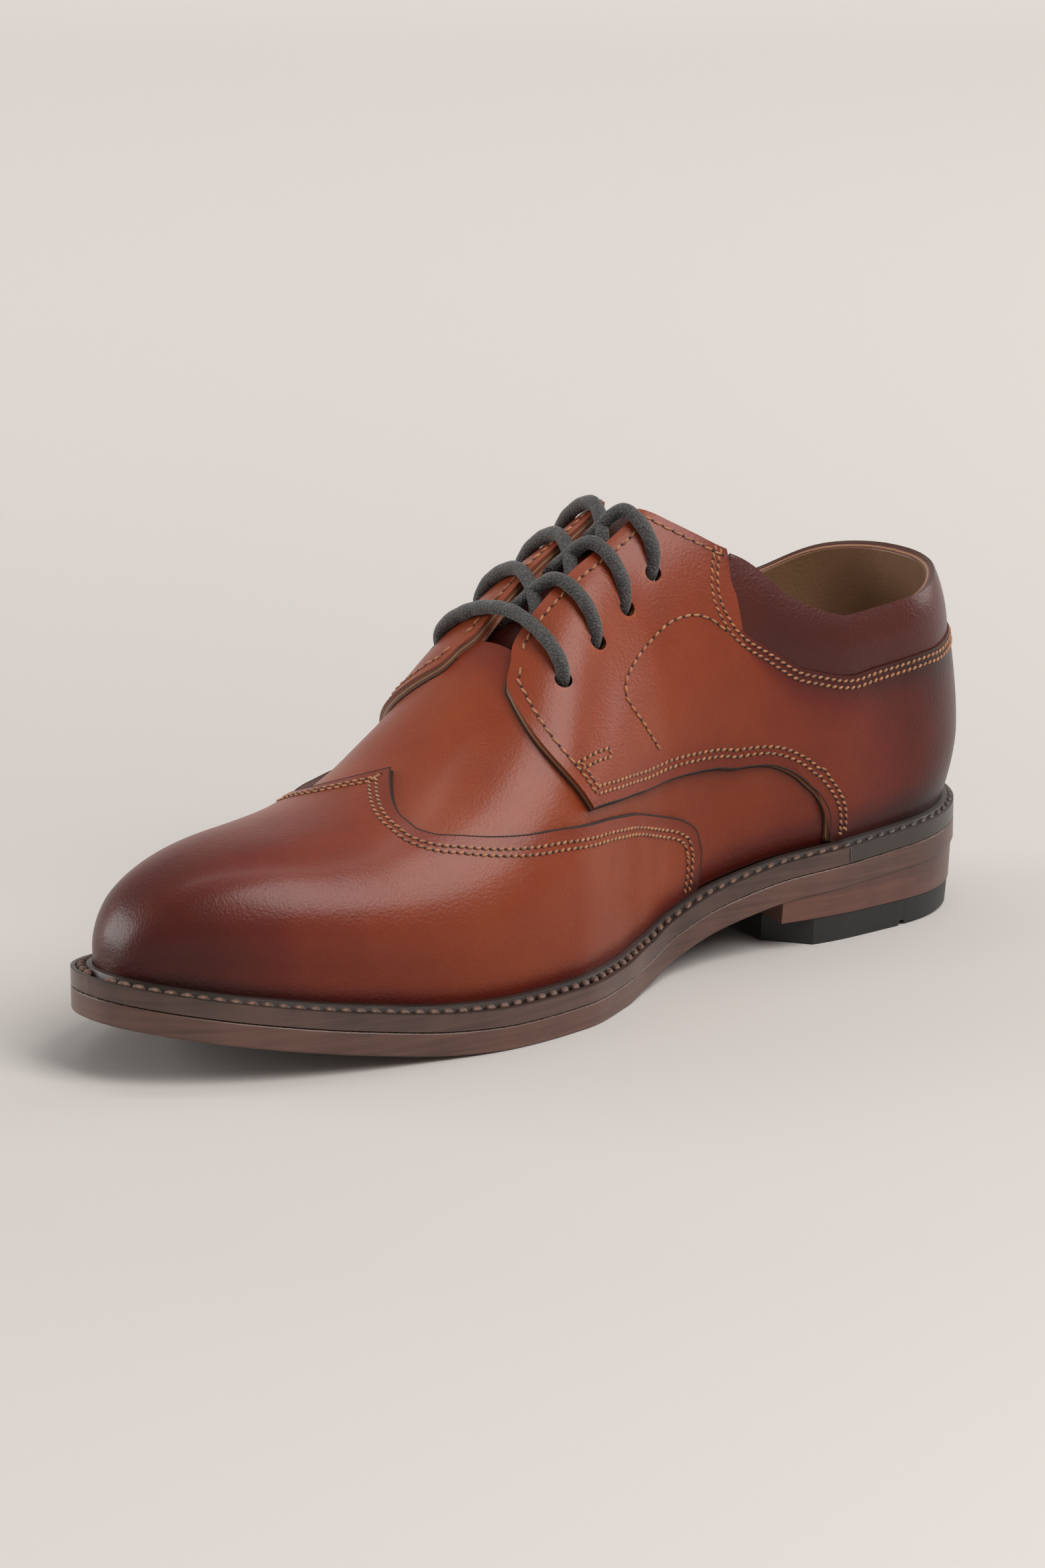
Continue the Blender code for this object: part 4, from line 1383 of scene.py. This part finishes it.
def edge_seam(side, start, stop, q, inset, pitch=STITCH_PITCH, slant=STITCH_SLANT):
    """A seam along a quarter's lower (q 0) or upper (q 1) edge between two rows."""
    runs = [(start + (stop - start) * i / 160) / LAST_ROW for i in range(161)]
    places = [quarter_place(side, run, q) for run in runs]
    tops = [quarter_top(run) for run in runs]
    seam(quarter_seams, places, inset * side, tops, pitch, slant * side)


def front_seam(side, low, high, inset, pitch, slant):
    """A seam along a quarter's front edge between two shares of its height."""
    places = [quarter_place(side, 1.0, low + (high - low) * i / 60) for i in range(61)]
    seam(quarter_seams, places, -inset * side, quarter_top(1.0), pitch, slant * side)


Place = namedtuple("Place", "at share up")
PLAIN_ROW = numbered(
    Place,
    (0.334, 0.468),
    (0.352, 0.512),
    (0.373, 0.543),
    (0.405, 0.564),
    (0.436, 0.563),
    (0.458, 0.555),
    (0.469, 0.541),
    (0.472, 0.518),
    (0.467, 0.491),
    (0.452, 0.436),
    (0.431, 0.362),
)


def free_seam(side, rows, pitch, slant):
    """A seam over a quarter's middle, through the places of a table."""
    places, tops = [], []
    middles = [(k / 200, strip_point(QUARTER_EDGES, k / 200, 0.5)[0]) for k in range(201)]
    for i in range(121):
        at = rows[-1].at * i / 120
        share = hermite(rows, "share", at)
        run, _ = min(middles, key=lambda middle: abs(middle[1] - share))
        places.append((side, share, hermite(rows, "up", at)))
        tops.append(quarter_top(run))
    seam(quarter_seams, places, 0.0, tops, pitch, slant)


TACK_ROWS = (
    (Place(0, 0.562, 0.523), Place(1, 0.514, 0.472)),
    (Place(0, 0.557, 0.499), Place(1, 0.511, 0.451)),
    (Place(0, 0.514, 0.472), Place(1, 0.511, 0.451)),
)
ROW_INSET = 0.0034
TOP_ROW_INSET = 0.0015
PLAIN_PITCH = 0.0032
for side in (1, -1):
    lower = [(10.6 + i * 0.0815) / LAST_ROW for i in range(201)]
    lower_edge = [quarter_place(side, run, 0.0) for run in lower]
    lower_tops = [quarter_top(run) - 0.0002 for run in lower]
    front_edge = [quarter_place(side, 1.0, 0.98 * i / 80) for i in range(81)]
    ink_and_shade_line(quarter_seams, lower_edge, -INK_IN * side, lower_tops)
    # painted shade: dark lines along the foot of the steps at the quarter's lower and front edges
    for rim_edge in (lower_edge, front_edge):
        ink_and_shade_line(quarter_seams, rim_edge, STEP_SHADE_OUT * side, UPPER_WALL + 0.0002)
    for inset in (ROW_INSET, ROW_INSET + ROW_APART):
        edge_seam(side, 10.7, 26.5, 0.0, -inset)
        front_seam(side, 0.05, 0.24, inset, STITCH_PITCH, STITCH_SLANT)
    front_seam(side, 0.24, 0.985, ROW_INSET, 0.0034, 0.15)
    edge_seam(side, 21.2, 26.6, 1.0, ROW_INSET, PLAIN_PITCH, 0.2)
    edge_seam(side, 16.3, 20.2, 1.0, 0.0024, PLAIN_PITCH, 0.2)
    for inset in (TOP_ROW_INSET, TOP_ROW_INSET + ROW_APART):
        edge_seam(side, 0.004, 15.7, 1.0, inset)
    free_seam(side, PLAIN_ROW, 0.0030, 0.1)
    for rows in TACK_ROWS:
        free_seam(side, rows, STITCH_PITCH, STITCH_SLANT)
finished("quarter_seams", threaded(quarter_seams), (tan_thread, dark_ink_and_shade))

# Collar: a strip of darker, softly padded leather round the ankle, under the quarters.

COLLAR_EDGES = numbered(
    Strip,
    (0.000, 0.740, 0.000, 1.000),
    (0.004, 0.740, 0.004, 1.000),
    (0.016, 0.740, 0.016, 1.000),
    (0.034, 0.740, 0.034, 1.000),
    (0.055, 0.743, 0.055, 1.000),
    (0.078, 0.746, 0.078, 1.000),
    (0.104, 0.750, 0.103, 1.000),
    (0.133, 0.750, 0.131, 1.000),
    (0.165, 0.750, 0.161, 1.000),
    (0.197, 0.743, 0.190, 1.000),
    (0.231, 0.735, 0.216, 1.000),
    (0.266, 0.720, 0.240, 1.000),
    (0.298, 0.710, 0.266, 1.000),
    (0.317, 0.740, 0.286, 1.000),
    (0.325, 0.830, 0.300, 1.000),
    (0.319, 0.930, 0.311, 1.000),
)


def collar_point(along, across, level):
    side = 1 if along > 0.5 else -1
    q = (across + 1) / 2
    share, up = strip_point(COLLAR_EDGES, abs(2 * along - 1), q)
    puff = 0.0010 * level * sin(pi * min(q * 1.02, 1.0)) ** 0.7
    thick = PANEL_FOOT + 0.0004 - OVERLAY_FOOT
    return hide(side, share, up * rim(side, share), OVERLAY_FOOT + level * thick + puff)


DARK_STOPS = (
    (0.0, (0.085, 0.012, 0.007)),
    (0.5, (0.048, 0.008, 0.005)),
    (1.0, (0.018, 0.004, 0.003)),
)
COLLAR_RIM = (0.05, 0.02, 0.012)
dark_calf = polished_leather("dark calf", DARK_STOPS, 0.34, COLLAR_RIM, COLLAR_RIM)
finished(
    "collar_dressed",
    wall(4 * 2 * (len(COLLAR_EDGES) - 1), 14, collar_point, None, lambda along, across: 0.4),
    (dark_calf,),
    edge=0.0005,
    stands_for=("collar_panel",),
)

# Tongue: a thin leather flap under the lacing, sewn in at the throat, sagging between
# the facings where the lace presses it.

TONGUE_BACK = 0.362
TONGUE_FRONT = 0.585
TONGUE_UP = 0.70
TONGUE_THICK = 0.0018


def tongue_point(along, across, level):
    share = TONGUE_BACK + along * (TONGUE_FRONT - TONGUE_BACK)
    up = 1 - (1 - TONGUE_UP) * abs(across)
    side = 1 if across > 0 else -1
    sunk = 0.0036 - 0.0022 * smooth(0.75, 1.0, along) + 0.0004 * cos(9 * across)
    return skin(side, share, up, -sunk - (1 - level) * TONGUE_THICK)


finished(
    "tongue_dressed",
    # painted shade: the tongue is painted near the darkest brown for the shade in the gap between the
    # facings
    wall(60, 40, tongue_point, None, lambda along, across: 0.75),
    (dark_calf,),
    edge=0.0004,
    stands_for=("tongue",),
)

# Lace: one round waxed cord of cotton, woven, over the lowest holes and criss-cross
# above them, through all eight holes, its ends tucked in under the top ones.

LACE_DIAMETER = 0.0042
Run = namedtuple("Run", "at across ahead grow")
BAR_RUN = (
    Run(0.00, 0.00, 0.000, FACING_TOP + 0.0032),
    Run(0.30, 0.34, 0.000, FACING_TOP + 0.0029),
    Run(0.60, 0.78, 0.000, FACING_TOP + 0.0025),
    Run(0.74, 0.94, 0.000, FACING_TOP + 0.0012),
    Run(0.86, 1.00, 0.000, FACING_TOP - 0.0022),
    Run(1.00, 0.98, -0.002, -0.0018),
)
# from beneath one facing, up through the gap, over the other and down into its hole
CROSS_RUN = (
    Run(0.00, -0.90, 0.043, -0.0022),
    Run(0.12, -0.62, 0.036, -0.0024),
    Run(0.28, -0.34, 0.030, -0.0021),
    Run(0.42, -0.12, 0.021, 0.0010),
    Run(0.54, 0.10, 0.012, 0.0052),
    Run(0.66, 0.32, 0.006, FACING_TOP + 0.0025),
    Run(0.78, 0.64, 0.002, FACING_TOP + 0.0024),
    Run(0.88, 0.90, 0.000, FACING_TOP + 0.0014),
    Run(0.95, 1.00, 0.000, FACING_TOP - 0.0022),
    Run(1.00, 0.99, -0.001, -0.0018),
)


def run_point(side, hole, run, at):
    """Middle of a run of lace on its way to a hole on one side."""
    across = hermite(run, "across", at)
    share = hole.share + hermite(run, "ahead", at)
    up = 1 - (1 - hole.up) * abs(across)
    return skin(side if across > 0 else -side, share, up, hermite(run, "grow", at))


def half_lace(side):
    """The lace from the middle of the bar to its end under a top hole."""
    points = [run_point(side, HOLES[0], BAR_RUN, i / 24) for i in range(25)]
    for hole in HOLES[1:]:
        side = -side
        points += [run_point(side, hole, CROSS_RUN, i / 44) for i in range(1, 45)]
    return points


lace_way = half_lace(1)[::-1] + half_lace(-1)[1:]
for _ in range(3):
    eased_way = [lace_way[0]]
    for before, here, after in zip(lace_way, lace_way[1:], lace_way[2:]):
        eased_way.append((before + 2 * here + after) / 4)
    lace_way = eased_way + [lace_way[-1]]

lace_lengths = [0.0]
for before, after in zip(lace_way, lace_way[1:]):
    lace_lengths.append(lace_lengths[-1] + (after - before).length)
LACE_LENGTH = lace_lengths[-1]
LACE_END = LACE_LENGTH * 0.99999
LACE_ROWS = 900
LACE_SIDES = 14


def on_lace(reach):
    k = max(i for i in range(len(lace_lengths) - 1) if lace_lengths[i] <= reach)
    part = (reach - lace_lengths[k]) / max(lace_lengths[k + 1] - lace_lengths[k], 1e-9)
    return lace_way[k].lerp(lace_way[k + 1], min(part, 1.0))


lace_mesh = bmesh.new()
lace_run = lace_mesh.verts.layers.float.new("run")
lace_turn = lace_mesh.verts.layers.float.new("turn")
radius = LACE_DIAMETER / 2
ring = bmesh.ops.create_circle(lace_mesh, cap_ends=False, segments=LACE_SIDES, radius=radius)
rings = [ring["verts"]]
last_edges = lace_mesh.edges[:]
for i in range(LACE_ROWS):
    grown = bmesh.ops.extrude_edge_only(lace_mesh, edges=last_edges)
    last_edges = [item for item in grown["geom"] if isinstance(item, bmesh.types.BMEdge)]
    fresh = {vertex for edge in last_edges for vertex in edge.verts}
    rings.append([vertex for vertex in grown["geom"] if vertex in fresh])
side_of_lace = Vector((0, 1, 0))
for i, ring_verts in enumerate(rings):
    reach = min(LACE_LENGTH * i / LACE_ROWS, LACE_END)
    middle = on_lace(reach)
    ahead = on_lace(min(reach + 0.0008, LACE_END)) - on_lace(max(reach - 0.0008, 0.0))
    ahead.normalize()
    side_of_lace = (side_of_lace - ahead * side_of_lace.dot(ahead)).normalized()
    other = ahead.cross(side_of_lace)
    for k, vertex in enumerate(ring_verts):
        turn = 2 * pi * k / LACE_SIDES
        size = radius * (0.97 + 0.03 * sin(reach * 900))
        vertex.co = middle + size * (cos(turn) * side_of_lace + sin(turn) * other)
        vertex[lace_run] = reach * 1000
        vertex[lace_turn] = k / LACE_SIDES
for ring_verts in (rings[0], rings[-1]):
    bmesh.ops.contextual_create(lace_mesh, geom=ring_verts)
bmesh.ops.recalc_face_normals(lace_mesh, faces=lace_mesh.faces[:])

lace_look, lace_tree, lace_shader = new_look("waxed lace", 0.62, Sheen_Weight=0.25, Sheen_Roughness=0.4)
lace_place = object_place(lace_tree)
lace_inputs = {"Vector": lace_place, "Scale": 1500.0, "Randomness": 0.8}
lace_grain = node(lace_tree, "ShaderNodeTexVoronoi", lace_inputs).outputs["Distance"]
lace_both = combined(lace_tree, "ADD", lace_grain, noise(lace_tree, lace_place, 1300.0, 3.0))
lace_tone = graded(lace_tree, lace_both, (0.55, (0.085, 0.078, 0.072)), (1.0, (0.022, 0.020, 0.019)))
surfaced(lace_tree, lace_shader, lace_tone, bumped(lace_tree, lace_both, 0.8, 0.0004, invert=True))
finished(
    "lace",
    lace_mesh,
    (lace_look,),
    stands_for=("lace_bar", "lace_crossing_1", "lace_crossing_2", "lace_crossing_3"),
)
